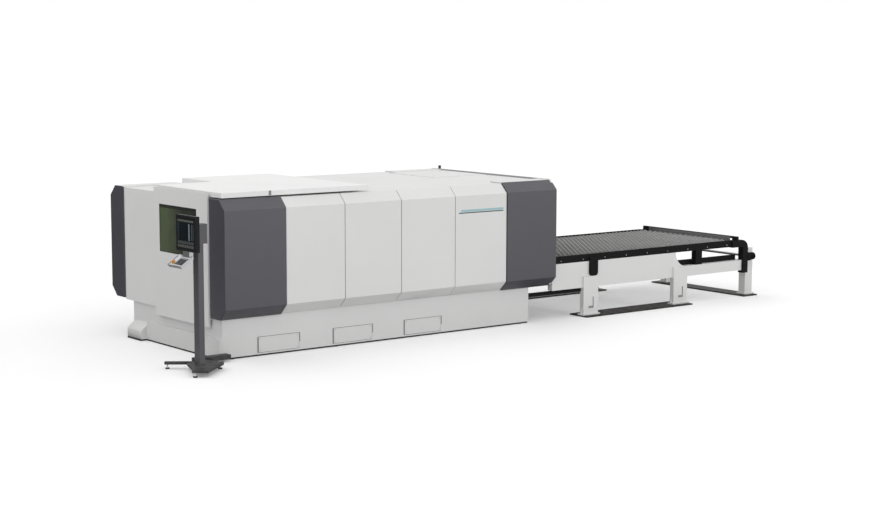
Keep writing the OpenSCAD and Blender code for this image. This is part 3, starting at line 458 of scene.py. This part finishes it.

# %% [markdown]
# ## Levelling feet of the stand
# The pads are black rubber and the threaded stems above them are bright, so the colour changes
# with the height of a point above the floor. A fine wave of painted light and shade along the
# height stands for the lit crests and shaded roots of the thread.

# %% Foot finish
PAD_TOP, STEM_FOOT = 0.0140, 0.0146
THREAD_WAVES = 2600.0
PAD_BLACK, STEM_THREAD_SHADE, STEM_THREAD_LIGHT = ((v, v, v, 1.0) for v in (0.012, 0.40, 0.74))
foot_finish, tree, shader, where = new_material("stand_foot_finish")
above_floor = split_axes(tree, where)["Z"]
stem = add_range(tree, above_floor, PAD_TOP, STEM_FOOT, 0.0, 1.0)
# Painted light and shade of the thread: bands of lighter and darker colour up the stem
waves = add_math(tree, "SINE", add_math(tree, "MULTIPLY", above_floor, THREAD_WAVES), 0.0)
thread = add_range(tree, waves, -1.0, 1.0, 0.78, 1.0)
bright = add_mix(tree, thread, STEM_THREAD_SHADE, STEM_THREAD_LIGHT)
tree.links.new(add_mix(tree, stem, PAD_BLACK, bright), shader.inputs["Base Color"])
tree.links.new(add_range(tree, stem, 0.0, 1.0, 0.7, 0.35), shader.inputs["Roughness"])
print("stand feet: pads and stems")

# %% [markdown]
# ## Glass
# The end door's window is a laser-safe acrylic: a deep green that lets little light through. It
# gets a dark tinted base, a smooth surface and only some transmission. Its colour is painted shade
# and light of the inside: darker to the front, where the inside of the machine is in shade, and
# lighter to the rear.

# %% Window and screen glass
PANE_SHADED_FRONT, PANE_LIT_REAR = (0.038, 0.043, 0.034, 1.0), (0.105, 0.130, 0.075, 1.0)
LINTEL = (0.030, 0.031, 0.029, 1.0)
SCREEN_TINTS = ((0.006, 0.010, 0.012, 1.0), (0.010, 0.017, 0.018, 1.0))
window_glass, tree, shader, where = new_material("green_window_acrylic", gloss=0.35)
axes = split_axes(tree, where)
low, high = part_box("door_window")
# Painted shade and light: the pane darkens to the front and lightens to the rear, for the unevenly
# lit inside
depth = add_range(tree, axes["Y"], low[1] + 0.35, high[1] - 0.18, 0.0, 1.0)
streaks = spread(tree, add_noise(tree, where, 5.0, 2.0), -0.12, 0.12)
depth = add_math(tree, "ADD", depth, streaks)
pane = add_mix(tree, depth, PANE_SHADED_FRONT, PANE_LIT_REAR)
lintel = add_range(tree, axes["Z"], high[2] - 0.048, high[2] - 0.040, 0.0, 0.85)
tree.links.new(add_mix(tree, lintel, pane, LINTEL), shader.inputs["Base Color"])
shader.inputs["Roughness"].default_value = 0.08
shader.inputs["Transmission Weight"].default_value = 0.15
shader.inputs["IOR"].default_value = 1.49

screen_glass, tree, shader, where = new_material("screen_cover_glass", gloss=0.15)
tint = spread(tree, add_noise(tree, where, 4.0, 2.0), 0.0, 1.0)
tree.links.new(add_mix(tree, tint, *SCREEN_TINTS), shader.inputs["Base Color"])
shader.inputs["Roughness"].default_value = 0.12
print("glass: window and screen")

# %% [markdown]
# ## One finish for every node
# The record says which material slot each CAD node belongs to, and a slot has one finish. A few
# nodes get a finish of their own, such as the slats or the lids on the roof.

# %% Give every CAD node its finish
finishes = {
    "white_paint": white_coat, "dark_paint": dark_coat, "black_paint": black_coat,
    "stand_paint": stand_coat, "bare_steel": rail_steel, "slat_steel": rail_steel,
    "pad_rubber": pad_rubber, "window_glass": window_glass, "screen_glass": screen_glass,
    "screen_plastic": screen_plastic, "tray_metal": tray_metal, "key_plastic": key_plastic,
    "button_plastic": stop_orange, "nozzle_brass": nozzle_brass,
}
# The bed's own finish is a darker copy of the white as painted shade, and the lids' a lighter copy as
# painted light
special = {"cutting_head": head_coat, "loading_door": plate_steel, "bridge_beam": plate_steel,
           "scrap_tray": plate_steel, "roof_hatch": painted_light_lid_coat, "roof_hood": painted_light_lid_coat,
           "machine_bed": painted_shade_bed_coat, "end_duct": painted_shade_bed_coat, "bed_covers": painted_shade_bed_coat,
           "stand_base": base_coat, "stand_feet": foot_finish, **slat_finishes}
for entry in frame["record"]["subparts"]:
    node = nodes[entry["node"]]
    finish = special.get(entry["node"], finishes[entry["material_slot"]])
    if not node.material_slots:
        node.data.materials.append(finish)
    for place in node.material_slots:
        place.material = finish

# %% [markdown]
# ## Soft edges
# Folded sheet and moulded covers have no knife edges. A weld and a bevel on the CAD nodes round
# their edges and folds a little, so that each panel catches a thin line of light next to its seam.
# The solids keep their size, since a bevel only takes material away.

# %% Weld and bevel
WELD_REACH, SOFT_ANGLE = 0.00002, 30
CAPS = ("front_left_cap", "front_right_cap", "rear_left_cap", "rear_right_cap")
soft_edges = {"front_panel_%d" % (i + 1): 9.0 for i in range(4)}
soft_edges.update({corner: 7.0 for corner in CAPS})
soft_edges.update({"roof_hatch": 3.0, "roof_hood": 3.0, "stand_column": 4.0, "screen_housing": 5.0,
                   "keyboard_tray": 2.0})
for name, width in soft_edges.items():
    weld = nodes[name].modifiers.new("join_facets", "WELD")
    weld.merge_threshold = WELD_REACH
    bevel = nodes[name].modifiers.new("soft_edges", "BEVEL")
    bevel.width = width * MM
    bevel.segments = 3
    bevel.limit_method = "ANGLE"
    bevel.angle_limit = math.radians(SOFT_ANGLE)
    bevel.harden_normals = True
print("soft edges:", len(soft_edges), "nodes")

# %% [markdown]
# ## More building blocks
# Sheet trims are flat outlines with a thickness, so one helper makes a face from its corners and
# draws it out. Seals and collars are rims: the face is inset first, its middle is taken out, and
# only the rim is drawn out. The normals are set right when the piece is finished.

# %% Outline and rim helpers
COLLAR_SIDES = 32


def draw_out(bm, faces, depth):
    """Gives faces a thickness along a vector in site millimetres."""
    drawn = bmesh.ops.extrude_face_region(bm, geom=faces)["geom"]
    ends = [v for v in drawn if isinstance(v, bmesh.types.BMVert)]
    bmesh.ops.translate(bm, vec=Vector(depth) * MM, verts=ends)


def add_outline(bm, points, depth):
    """A flat outline of site points, drawn out by depth."""
    draw_out(bm, [bm.faces.new([bm.verts.new(site(*p)) for p in points])], depth)


def rectangle(u0, v0, u1, v1):
    """The four corners of a rectangle, in order."""
    return (u0, v0), (u1, v0), (u1, v1), (u0, v1)


def cut_rim(bm, face, width):
    """Keeps only a rim of the given width along the inside of a face."""
    rim = bmesh.ops.inset_region(bm, faces=[face], thickness=width * MM, use_boundary=True,
                                 use_even_offset=True)["faces"]
    bmesh.ops.delete(bm, geom=[face], context="FACES")
    return rim


def add_rim(bm, points, width, depth):
    """A frame along the inside of an outline of site points."""
    face = bm.faces.new([bm.verts.new(site(*p)) for p in points])
    face.normal_update()
    draw_out(bm, cut_rim(bm, face, width), depth)


def add_collar(bm, centre, turn, radius, width, height):
    """A round collar that stands on centre; turn maps its own Z onto its axis."""
    old = set(bm.verts)
    ring = bmesh.ops.create_circle(bm, cap_ends=True, segments=COLLAR_SIDES, radius=radius * MM)
    draw_out(bm, cut_rim(bm, ring["verts"][0].link_faces[0], width), (0, 0, height))
    made = [v for v in bm.verts if v not in old]
    bmesh.ops.rotate(bm, matrix=turn, verts=made)
    bmesh.ops.translate(bm, vec=site(*centre), verts=made)


def add_bolt(bm, centre, axis, size):
    """A washer and a hexagon head of the given thread size."""
    add_disc(bm, centre, axis, size * 1.1, size * 0.2, 20)
    add_disc(bm, centre, axis, size * 0.9, size * 0.85, 6, top=size * 0.8)


print("helpers: outline, rim, collar, bolt")

# %% [markdown]
# ## Painted shadow gap and outlet boot
# A black rubber strip fills the gap between the bed and the floor as painted shadow: it makes the
# dark shadow line along the foot of the machine. The moulded boot at the rear left end leaves the bed
# flush at the top and swings out to the floor in one S curve.

# %% Painted shadow strip under the bed
BED_END, GAP_SHADE_BACK, SEAL_W, GAP_SHADE_H = 5025, 8, 6, 20.5
bed_low, bed_high = site_box("machine_bed")
duct_low = site_box("end_duct")[0]
boot_low, boot_high = site_box("outlet_boot")
gap_shade_x0, gap_shade_x1 = duct_low.x + GAP_SHADE_BACK, BED_END - GAP_SHADE_BACK
gap_shade_y0, gap_shade_y1 = duct_low.y + GAP_SHADE_BACK, bed_high.y - GAP_SHADE_BACK
boot_x0 = boot_low.x + GAP_SHADE_BACK
boot_y0, boot_y1 = boot_low.y + GAP_SHADE_BACK, boot_high.y - GAP_SHADE_BACK
# Painted shadow: a black strip in the gap under the bed, set back a little from its faces
bm = bmesh.new()
add_rim(bm, [(x, y, 1) for x, y in (
    (gap_shade_x0, gap_shade_y0), (gap_shade_x1, gap_shade_y0), (gap_shade_x1, gap_shade_y1), (bed_low.x + GAP_SHADE_BACK, gap_shade_y1),
    (bed_low.x + GAP_SHADE_BACK, boot_y1), (boot_x0, boot_y1), (boot_x0, boot_y0), (gap_shade_x0, boot_y0))],
    SEAL_W, (0, 0, GAP_SHADE_H))
finish_piece("floor_gap_shade_strip", bm, pad_rubber)

# %% Outlet boot
BOOT_OUT, BOOT_KNEE, BOOT_STEPS, BOOT_SOFT = 118, 120, 14, 16
NEAR = 0.001
curve = []
for step in range(BOOT_STEPS + 1):
    along = step / BOOT_STEPS
    swing = along * along * (3 - 2 * along)
    curve.append((boot_high.x - BOOT_OUT * swing, boot_high.z - (boot_high.z - BOOT_KNEE) * along))
profile = [(boot_high.x, boot_low.z)] + curve + [(boot_high.x - BOOT_OUT, boot_low.z)]
bm = bmesh.new()
add_outline(bm, [(x, boot_low.y, z) for x, z in profile], (0, boot_high.y - boot_low.y, 0))
bed_face, boot_foot = site(*boot_high).x - NEAR, site(*boot_low).z + NEAR
rims = [e for e in bm.edges if abs(e.verts[0].co.y - e.verts[1].co.y) < NEAR
        and min(v.co.x for v in e.verts) < bed_face and max(v.co.z for v in e.verts) > boot_foot]
bmesh.ops.bevel(bm, geom=rims, offset=BOOT_SOFT * MM, segments=3, profile=0.5, affect="EDGES",
                material=-1, clamp_overlap=True)
for face in bm.faces:
    face.smooth = len(face.verts) == 4
boot = finish_piece("outlet_boot_shell", bm, painted_shade_bed_coat)
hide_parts("outlet_boot")

# %% [markdown]
# ## Flashings and gaskets
# Folded white flashings cover the flat tops of three dark caps, so the roof reads as one white
# surface. Rubber sits in the seams between the panels, a little behind their faces.

# %% Roof flashings
ENCLOSURE_W, ROOF_Z, BEVEL, RETURN = 3010, 2015, 133, 380
FOLD, FLANGE, FLASH_Y = 1.5, 11.5, BEVEL + 2
LEFT_CAP, RIGHT_CAP = (4, 895, 896), (4505, 5364, 4502.5)


def from_edge(y, rear):
    """A depth measured from the rear edge of the enclosure, or else from its front edge."""
    return ENCLOSURE_W - y if rear else y


flashing = [(FLASH_Y, ROOF_Z), (FLASH_Y, ROOF_Z + FOLD), (RETURN + FOLD, ROOF_Z + FOLD),
            (RETURN + FOLD, ROOF_Z - FLANGE), (RETURN, ROOF_Z - FLANGE), (RETURN, ROOF_Z)]
bm = bmesh.new()
for (x0, x1, flange_x), rear in ((LEFT_CAP, True), (RIGHT_CAP, True), (RIGHT_CAP, False)):
    add_outline(bm, [(x0, from_edge(y, rear), z) for y, z in flashing], (x1 - x0, 0, 0))
    y0, y1 = sorted(from_edge(y, rear) for y in (FLASH_Y, RETURN + FOLD))
    add_block(bm, (flange_x, y0, ROOF_Z - FLANGE), (flange_x + FOLD, y1, ROOF_Z + FOLD), 0.4)
finish_piece("roof_flashings", bm, white_coat)

# %% Seam gaskets
SKIRT_Z, PANEL_PITCH = 510, 900
GASKET_W, GASKET_FRONT, GASKET_BACK = 7.6, 22, 34
GASKET_TOP, GASKET_FOOT = RETURN - 10, BEVEL + 22


def skin_line(inset):
    """The folded outline of the enclosure at a distance behind the cap face, from roof to skirt."""
    mitre = inset * math.tan(math.radians(22.5))
    top, foot = ROOF_Z - inset, SKIRT_Z + inset
    return [(GASKET_TOP, top), (BEVEL + mitre, top), (inset, ROOF_Z - BEVEL - mitre),
            (inset, SKIRT_Z + BEVEL + mitre), (BEVEL + mitre, foot), (GASKET_FOOT, foot)]


gasket = skin_line(GASKET_FRONT) + skin_line(GASKET_BACK)[::-1]
bm = bmesh.new()
for seam in range(1, 6):
    for rear in (False, True):
        x = PANEL_PITCH * seam - GASKET_W / 2
        add_outline(bm, [(x, from_edge(y, rear), z) for y, z in gasket], (GASKET_W, 0, 0))
finish_piece("seam_gaskets", bm, seal_rubber)

# %% [markdown]
# ## Trims of the roof, the front and the bed
# The two lids meet under a small latch. A grey strip along the low wall at the right edge of the roof
# is painted shade for the wall's shaded inner face. Two plain stripes mark the last front panel. The
# three service covers of the bed sit in a rubber ring, and two narrow grey strips beside each are
# painted shade for the shaded slots at its edges.

# %% Roof trims
LATCH_X, LATCH_FACE, LATCH_SCREWS = 740, 124, (2043, 2083)
PARAPET_SHADE_Y, PARAPET_SHADE_LENGTH = 390, 2230
STRIP = ((5369.5, 2003.2), (5369.5, 2024), (5366, 2024), (5360, 2008), (5360, 2003.2))
SCREW_INSET = 25
bm = bmesh.new()
add_block(bm, (LATCH_X - 17, LATCH_FACE, 2036), (LATCH_X + 17, 130, 2090), 1.5)
add_block(bm, (LATCH_X - 11, 119, 2050), (LATCH_X + 11, 125, 2076), 2.0)
for z in LATCH_SCREWS:
    add_disc(bm, (LATCH_X, LATCH_FACE, z), "-y", 4.5, 2.5, 12, top=3.5)
finish_piece("lid_latch", bm, trim_and_shade_grey)
bm = bmesh.new()
# Painted shade: a grey strip for the shaded inner face of the low wall at the roof's right edge
add_outline(bm, [(x, PARAPET_SHADE_Y, z) for x, z in STRIP], (0, PARAPET_SHADE_LENGTH, 0))
finish_piece("parapet_shade_strip", bm, trim_and_shade_grey)
bm = bmesh.new()
plate_low, plate_high = site_box("roof_plate")
middle_x, middle_y = (plate_low.x + plate_high.x) / 2, (plate_low.y + plate_high.y) / 2
for x in (plate_low.x + SCREW_INSET, middle_x, plate_high.x - SCREW_INSET):
    for y in (plate_low.y + SCREW_INSET, middle_y, plate_high.y - SCREW_INSET):
        if (x, y) != (middle_x, middle_y):
            add_disc(bm, (x, y, plate_high.z), "z", 9, 4, 14, top=6)
finish_piece("roof_plate_screws", bm, bolt_zinc)

# %% Front stripes
PANEL_FACE, FILM, STRIPE_END = 12, 0.8, 4441
for name, x, z, point, half, film in (("front_stripe", 3655, 1644, 8, 7, teal_film),
                                      ("front_stripe_light", 3690, 1672, 14, 14, teal_light)):
    bm = bmesh.new()
    stripe = ((x, z), (x + point, z - half), (STRIPE_END - point, z - half), (STRIPE_END, z),
              (STRIPE_END - point, z + half), (x + point, z + half))
    add_outline(bm, [(u, PANEL_FACE, v) for u, v in stripe], (0, -FILM, 0))
    finish_piece(name, bm, film)

# %% Bed covers
COVER_X, COVER_PITCH, COVER_W, COVER_Z, COVER_H = 565, 1145, 613, 40, 207
COVER_RING_Y, COVER_RING_W, COVER_RING_GAP = 161, 4, 0.5
COVER_SHADE_FRONT, COVER_SHADE_BACK, COVER_SHADE_SOFT = 157.5, 160, 0.8
COVER_FACE = 158
rings, shade_strips, screws = bmesh.new(), bmesh.new(), bmesh.new()
z0, z1 = COVER_Z, COVER_Z + COVER_H
for i in range(3):
    x0, x1 = COVER_X + i * COVER_PITCH, COVER_X + i * COVER_PITCH + COVER_W
    ring = rectangle(x0 + COVER_RING_GAP, z0 + COVER_RING_GAP,
                     x1 - COVER_RING_GAP, z1 - COVER_RING_GAP)
    add_rim(rings, [(x, COVER_RING_Y, z) for x, z in ring], COVER_RING_W, (0, 4, 0))
    # Painted shade: two grey strips beside each cover stand for the shaded slots at its edges
    add_block(shade_strips, (x0 - 17, COVER_SHADE_FRONT, z0 + 4), (x0 - 1, COVER_SHADE_BACK, z1), COVER_SHADE_SOFT)
    add_block(shade_strips, (x1 + 1, COVER_SHADE_FRONT, z0 + 90), (x1 + 14, COVER_SHADE_BACK, z1), COVER_SHADE_SOFT)
    for x in (x0 + 30, x1 - 30):
        for z in (z0 + 28, z1 - 28):
            add_disc(screws, (x, COVER_FACE, z), "-y", 7, 3, 14, top=5)
finish_piece("cover_gaskets", rings, seal_rubber)
finish_piece("cover_shade_strips", shade_strips, trim_and_shade_grey)
finish_piece("cover_screws", screws, bolt_zinc)

# %% [markdown]
# ## Screen and keyboard
# The picture on the screen is a plain working display: a title bar, a dark drawing field with a
# few scale bars, and two rows of soft keys. Each area is a thin tile on the glass, so it still
# reads from close by. The tray has a raised rim, rows of keys and a yellow collar round the stop
# button.

# %% Display tiles
GLASS_X, TILE, TILE_SOFT = -663, 0.7, 0.2
BEZEL, BEZEL_W, BEZEL_T = (-421, 1489, -19, 1851), 4, 1.2
title_spans = ((-405, -301), (-298, -151), (-148, -24))
key_spans = [(-60 - 43 * k, -26 - 43 * k) for k in range(9)]
tiles = {
    "screen_title_bar": ("display_grey", [(*span, 1806, 1832) for span in title_spans]),
    "screen_side_field": ("display_blue", [(-56, -24, 1592 + 40 * k, 1629 + 40 * k)
                                           for k in range(5)]),
    "screen_scale_bar": ("display_light", [(-312, -287, 1588, 1790)] + [
        (-281, -274, 1600 + 44 * k, 1603 + 44 * k) for k in range(5)]),
    "screen_fine_bar": ("display_dim", [(-376, -352, 1596, 1786), (-405, -392, 1596, 1786)]),
    "screen_soft_keys": ("display_dim", [(*span, 1540, 1576) for span in key_spans]),
    "screen_lower_keys": ("display_grey", [(*span, 1497, 1531) for span in key_spans]),
}
for name, (tone, places) in tiles.items():
    bm = bmesh.new()
    for y0, y1, z0, z1 in places:
        add_block(bm, (GLASS_X - TILE, y0, z0), (GLASS_X, y1, z1), TILE_SOFT)
    finish_piece(name, bm, display_tones[tone], "screen")
bm = bmesh.new()
add_rim(bm, [(GLASS_X, y, z) for y, z in rectangle(*BEZEL)], BEZEL_W, (-BEZEL_T, 0, 0))
finish_piece("screen_bezel", bm, screen_plastic, "screen")

# %% Keyboard tray
TRAY_ZERO = Vector((-638, -335, 1400))
TRAY_TILT, TRAY_COS, TRAY_SIN = 35, 0.81915, 0.57358
KEY_ROWS, KEY_COLUMNS = 5, 8
tray_x, tray_z = Vector((-TRAY_COS, 0, -TRAY_SIN)), Vector((-TRAY_SIN, 0, TRAY_COS))
tray_place = (Matrix.Translation(site(*TRAY_ZERO))
              @ Matrix((tray_x, (0, 1, 0), tray_z)).transposed().to_4x4()
              @ Matrix.Translation(-zero))


def on_tray(x, y, z):
    """A point of the tilted tray in site millimetres."""
    return TRAY_ZERO + tray_x * x + Vector((0, y, 0)) + tray_z * z


def add_tray_block(bm, low, high, soft):
    """A block in the tray's own tilted measures."""
    old = set(bm.verts)
    add_block(bm, low, high, soft)
    bmesh.ops.transform(bm, matrix=tray_place, verts=[v for v in bm.verts if v not in old])


bm = bmesh.new()
for low, high in (((196, 0, 0), (200, 320, 9)), ((24, 0, 0), (197, 4, 8.5)),
                  ((24, 316, 0), (197, 320, 8.5)), ((176, 26, 0), (192, 200, 7))):
    add_tray_block(bm, low, high, 1.2)
finish_piece("tray_rim", bm, tray_metal, "screen")
keys, light_keys = bmesh.new(), bmesh.new()
for row in range(KEY_ROWS):
    for column in range(KEY_COLUMNS):
        x, y = 56 + row * 23.2, 30 + column * 21
        target = light_keys if row == 0 or column == KEY_COLUMNS - 1 else keys
        add_tray_block(target, (x, y, 5), (x + 20, y + 18, 8.5), 1.0)
finish_piece("keyboard_keys", keys, key_plastic, "screen")
finish_piece("keyboard_light_keys", light_keys, key_light, "screen")
bm = bmesh.new()
add_collar(bm, on_tray(140, 260, 0), Matrix.Rotation(math.radians(-TRAY_TILT), 3, "Y"), 28, 7.5, 5)
finish_piece("stop_collar", bm, collar_yellow, "screen")

# %% [markdown]
# ## End door and table
# A rubber frame holds the pane in the sliding door. The legs of the table carry slotted adjusting
# plates with bolts and small gussets at their feet, and screws hold the rails. A folded plate
# hangs from the stop bar at the end and closes the view past the last slat.

# %% Window seal
PANE_SEAL_W, PANE_SEAL_T = 8, 4
pane_low, pane_high = site_box("door_window")
pane_edge = rectangle(pane_low.y, pane_low.z, pane_high.y, pane_high.z)
bm = bmesh.new()
add_rim(bm, [(pane_low.x, y, z) for y, z in pane_edge], PANE_SEAL_W, (-PANE_SEAL_T, 0, 0))
finish_piece("window_seal", bm, seal_rubber, "end_door")

# %% Leg fittings
TABLE_W = 2 * 1138
LEGS, LEG_W, LEG_FACE = (6022, 7845), 285, 100
ADJUSTER = ((100, 118), (196, 118), (196, 280), (178, 280), (178, 150), (100, 150))
ADJUSTER_BOLTS = ((120, 134), (150, 134), (187, 200), (187, 258))
ADJUSTER_T, BOLT_SIZE = 3, 7
GUSSET_BACK, GUSSET_W, GUSSET_T, GUSSET_Z0, GUSSET_Z1 = 42, 21, 10, 40, 150
plates, bolts, gussets = bmesh.new(), bmesh.new(), bmesh.new()
for leg in LEGS:
    for rear in (False, True):
        face, out = (TABLE_W - LEG_FACE, 1) if rear else (LEG_FACE, -1)
        add_outline(plates, [(leg + x, face, z) for x, z in ADJUSTER], (0, ADJUSTER_T * out, 0))
        for x, z in ADJUSTER_BOLTS:
            add_bolt(bolts, (leg + x, face + ADJUSTER_T * out, z), "y" if rear else "-y", BOLT_SIZE)
        y = face - GUSSET_BACK * out - GUSSET_T / 2
        for x, side in ((leg, -1), (leg + LEG_W, 1)):
            add_outline(gussets, [(x, y, GUSSET_Z0), (x + GUSSET_W * side, y, GUSSET_Z0),
                                  (x, y, GUSSET_Z1)], (0, GUSSET_T, 0))
finish_piece("leg_adjusters", plates, trim_and_shade_grey)
finish_piece("leg_bolts", bolts, bolt_zinc)
finish_piece("leg_gussets", gussets, white_coat)

# %% Rail screws
RAIL_X, RAIL_PITCH, RAIL_FACE, RAIL_Z = 5600, 425, 126, 838
bm = bmesh.new()
for k in range(9):
    for rear in (False, True):
        y = TABLE_W - RAIL_FACE if rear else RAIL_FACE
        add_disc(bm, (RAIL_X + RAIL_PITCH * k, y, RAIL_Z), "y" if rear else "-y", 9, 8, 16, top=8.4)
finish_piece("rail_screws", bm, bolt_zinc)

# %% Stop apron
APRON = ((9200, 950), (9200, 862), (9212, 850), (9208, 846), (9194, 860), (9194, 950))
APRON_Y, APRON_LENGTH = 240, 1796
bm = bmesh.new()
add_outline(bm, [(x, APRON_Y, z) for x, z in APRON], (0, APRON_LENGTH, 0))
finish_piece("stop_apron", bm, plate_steel)

# %% [markdown]
# ## Drive and rear side
# Cooling rings go round the drive motor, and four screws hold its end cover. Blades and filter
# mats close the cooling slots at the rear.

# %% Motor rings
MOTOR_Y, MOTOR_Z, MOTOR_R = 143, 628.5, 55
RING_X, RING_PITCH, RING_OUT, END_SCREW_R = 9533, 13, 3.5, 40
motor_end = site_box("drive_motor")[1].x
bm = bmesh.new()
for k in range(6):
    add_collar(bm, (RING_X + RING_PITCH * k, MOTOR_Y, MOTOR_Z), AXIS_TURNS["x"], MOTOR_R + RING_OUT,
               4, 5)
for k in range(4):
    around = math.radians(45 + 90 * k)
    y, z = MOTOR_Y + END_SCREW_R * math.cos(around), MOTOR_Z + END_SCREW_R * math.sin(around)
    add_disc(bm, (motor_end - 1, y, z), "x", 5, 4, 6)
finish_piece("motor_rings", bm, black_coat)

# %% Rear cooling slots
SLOT_MIDDLES, SLOT_Z, SLOT_PITCH, SLOT_HALF = (2250, 3150), 1443.1, 40, 224
BLADE_OUT, BLADE_IN = 2996, 2970
MAT_OUT, MAT_IN, MAT_HALF, MAT_SOFT = 2967, 2960, 236, 2.0
blades, mats = bmesh.new(), bmesh.new()
for middle in SLOT_MIDDLES:
    for k in range(9):
        z = SLOT_Z + 7 + SLOT_PITCH * k
        blade = ((BLADE_OUT, z - 6.5), (BLADE_OUT, z - 4.5), (BLADE_IN, z + 6.5), (BLADE_IN, z + 4.5))
        add_outline(blades, [(middle - SLOT_HALF, y, v) for y, v in blade], (2 * SLOT_HALF, 0, 0))
    add_block(mats, (middle - MAT_HALF, MAT_IN, SLOT_Z - 14),
              (middle + MAT_HALF, MAT_OUT, SLOT_Z + 348), MAT_SOFT)
finish_piece("louvre_blades", blades, white_coat)
finish_piece("louvre_mats", mats, seal_rubber)

# %% [markdown]
# ## Floor, light and camera
# The picture is a bright studio shot: a pale floor that runs into a pale surround, a wide soft sun
# from the upper left rear, and the surround itself as fill with a dark flag at the rear left. In
# its shine the floor is dark at the rear left and bright at the front, so the dark paint shows a
# bright front and a deep side. The camera stands to the left front, high up and far off, with a
# long lens.

# %% Floor
FLOOR_HALF = 150.0
FLOOR_TONES = ((0.86, 0.86, 0.86, 1.0), (0.88, 0.88, 0.88, 1.0))
FLOOR_BOUNCE = (0.58, 0.58, 0.58, 1.0)
FLOOR_MIRRORED = ((0.08, 0.08, 0.08, 1.0), (0.75, 0.75, 0.75, 1.0))
FLOOR_SWEEP, SWEEP_SPAN = (-0.35, -0.94, 0.0), (-3.0, 9.0)
FLOOR_GLOW, NO_GLOW = (0.14, 0.14, 0.14, 1.0), (0.0, 0.0, 0.0, 1.0)
bm = bmesh.new()
bmesh.ops.create_grid(bm, x_segments=1, y_segments=1, size=FLOOR_HALF)
floor_mesh = bpy.data.meshes.new("studio_floor")
bm.to_mesh(floor_mesh)
bm.free()
floor = bpy.data.objects.new("studio_floor", floor_mesh)
bpy.context.scene.collection.objects.link(floor)
floor_paint, tree, shader, where = new_material("pale_floor", gloss=0.0)
shade = spread(tree, add_noise(tree, where, 0.4, 2.0), 0.0, 1.0)
seen = add_mix(tree, shade, *FLOOR_TONES)
path = tree.nodes.new("ShaderNodeLightPath")
sweep = add_range(tree, add_aim(tree, where, FLOOR_SWEEP), *SWEEP_SPAN, 0.0, 1.0)
mirrored = add_mix(tree, sweep, *FLOOR_MIRRORED)
lighting = add_mix(tree, path.outputs["Is Glossy Ray"], FLOOR_BOUNCE, mirrored)
base = add_mix(tree, path.outputs["Is Camera Ray"], lighting, seen)
tree.links.new(base, shader.inputs["Base Color"])
glow = add_mix(tree, path.outputs["Is Camera Ray"], NO_GLOW, FLOOR_GLOW)
tree.links.new(glow, shader.inputs["Emission Color"])
shader.inputs["Emission Strength"].default_value = 1.0
shader.inputs["Roughness"].default_value = 0.8
floor_mesh.materials.append(floor_paint)
print("floor: half width", FLOOR_HALF, "m")

# %% Light
LIGHT_MEAN, LIGHT_LEAST = 1.265, 0.05
LIGHT_SLOPE = (-0.02, -0.215, -0.457)
FLAG_SIDE, FLAG_SPAN, FLAG_DEPTH = (-0.605, 0.79, 0.1), (0.55, 0.95), -0.85
SUN_FROM, SUN_STRENGTH, SUN_WIDTH = Vector((-0.5, 0.85, 1.0)), 0.7, 60
world = bpy.data.worlds.new("studio_surround")
bpy.context.scene.world = world
world.use_nodes = True
tree = world.node_tree
surround = tree.nodes["Background"]
surround.inputs["Color"].default_value = (1.0, 1.0, 1.0, 1.0)
sky_side = tree.nodes.new("ShaderNodeTexCoord").outputs["Generated"]
glow = add_math(tree, "ADD", add_aim(tree, sky_side, LIGHT_SLOPE), LIGHT_MEAN)
flag = add_range(tree, add_aim(tree, sky_side, FLAG_SIDE), *FLAG_SPAN, 0.0, FLAG_DEPTH)
glow = add_math(tree, "MAXIMUM", add_math(tree, "ADD", glow, flag), LIGHT_LEAST)
seen_first = tree.nodes.new("ShaderNodeLightPath").outputs["Is Camera Ray"]
tree.links.new(add_range(tree, seen_first, 0.0, 1.0, glow, 1.0), surround.inputs["Strength"])
sun_data = bpy.data.lights.new("soft_sun", "SUN")
sun_data.energy = SUN_STRENGTH
sun_data.angle = math.radians(SUN_WIDTH)
sun = bpy.data.objects.new("soft_sun", sun_data)
sun.rotation_euler = (-SUN_FROM).to_track_quat("-Z", "Y").to_euler()
bpy.context.scene.collection.objects.link(sun)
bpy.context.scene.view_settings.view_transform = "Standard"
print("light: surround and one soft sun")

# %% Camera
IMAGE_W = 883
FOCAL_PX = 1772.45
SENSOR_MM = 36.0
CAMERA_AT, CAMERA_TURN = (-11057, -18733, 3945), (37.572, 7.183, 0.112)
CAMERA_REACH = 400.0
camera_data = bpy.data.cameras.new("studio_camera")
camera_data.sensor_fit = "HORIZONTAL"
camera_data.sensor_width = SENSOR_MM
camera_data.lens = FOCAL_PX * SENSOR_MM / IMAGE_W
camera_data.clip_end = CAMERA_REACH
camera = bpy.data.objects.new("studio_camera", camera_data)
yaw, pitch, roll = (math.radians(a) for a in CAMERA_TURN)
turn = (Matrix.Rotation(-yaw, 4, "Z") @ Matrix.Rotation(math.pi / 2 - pitch, 4, "X")
        @ Matrix.Rotation(roll, 4, "Z"))
camera.matrix_world = Matrix.Translation(site(*CAMERA_AT)) @ turn
bpy.context.scene.collection.objects.link(camera)
bpy.context.scene.camera = camera
print("camera lens:", round(camera_data.lens, 2), "mm")
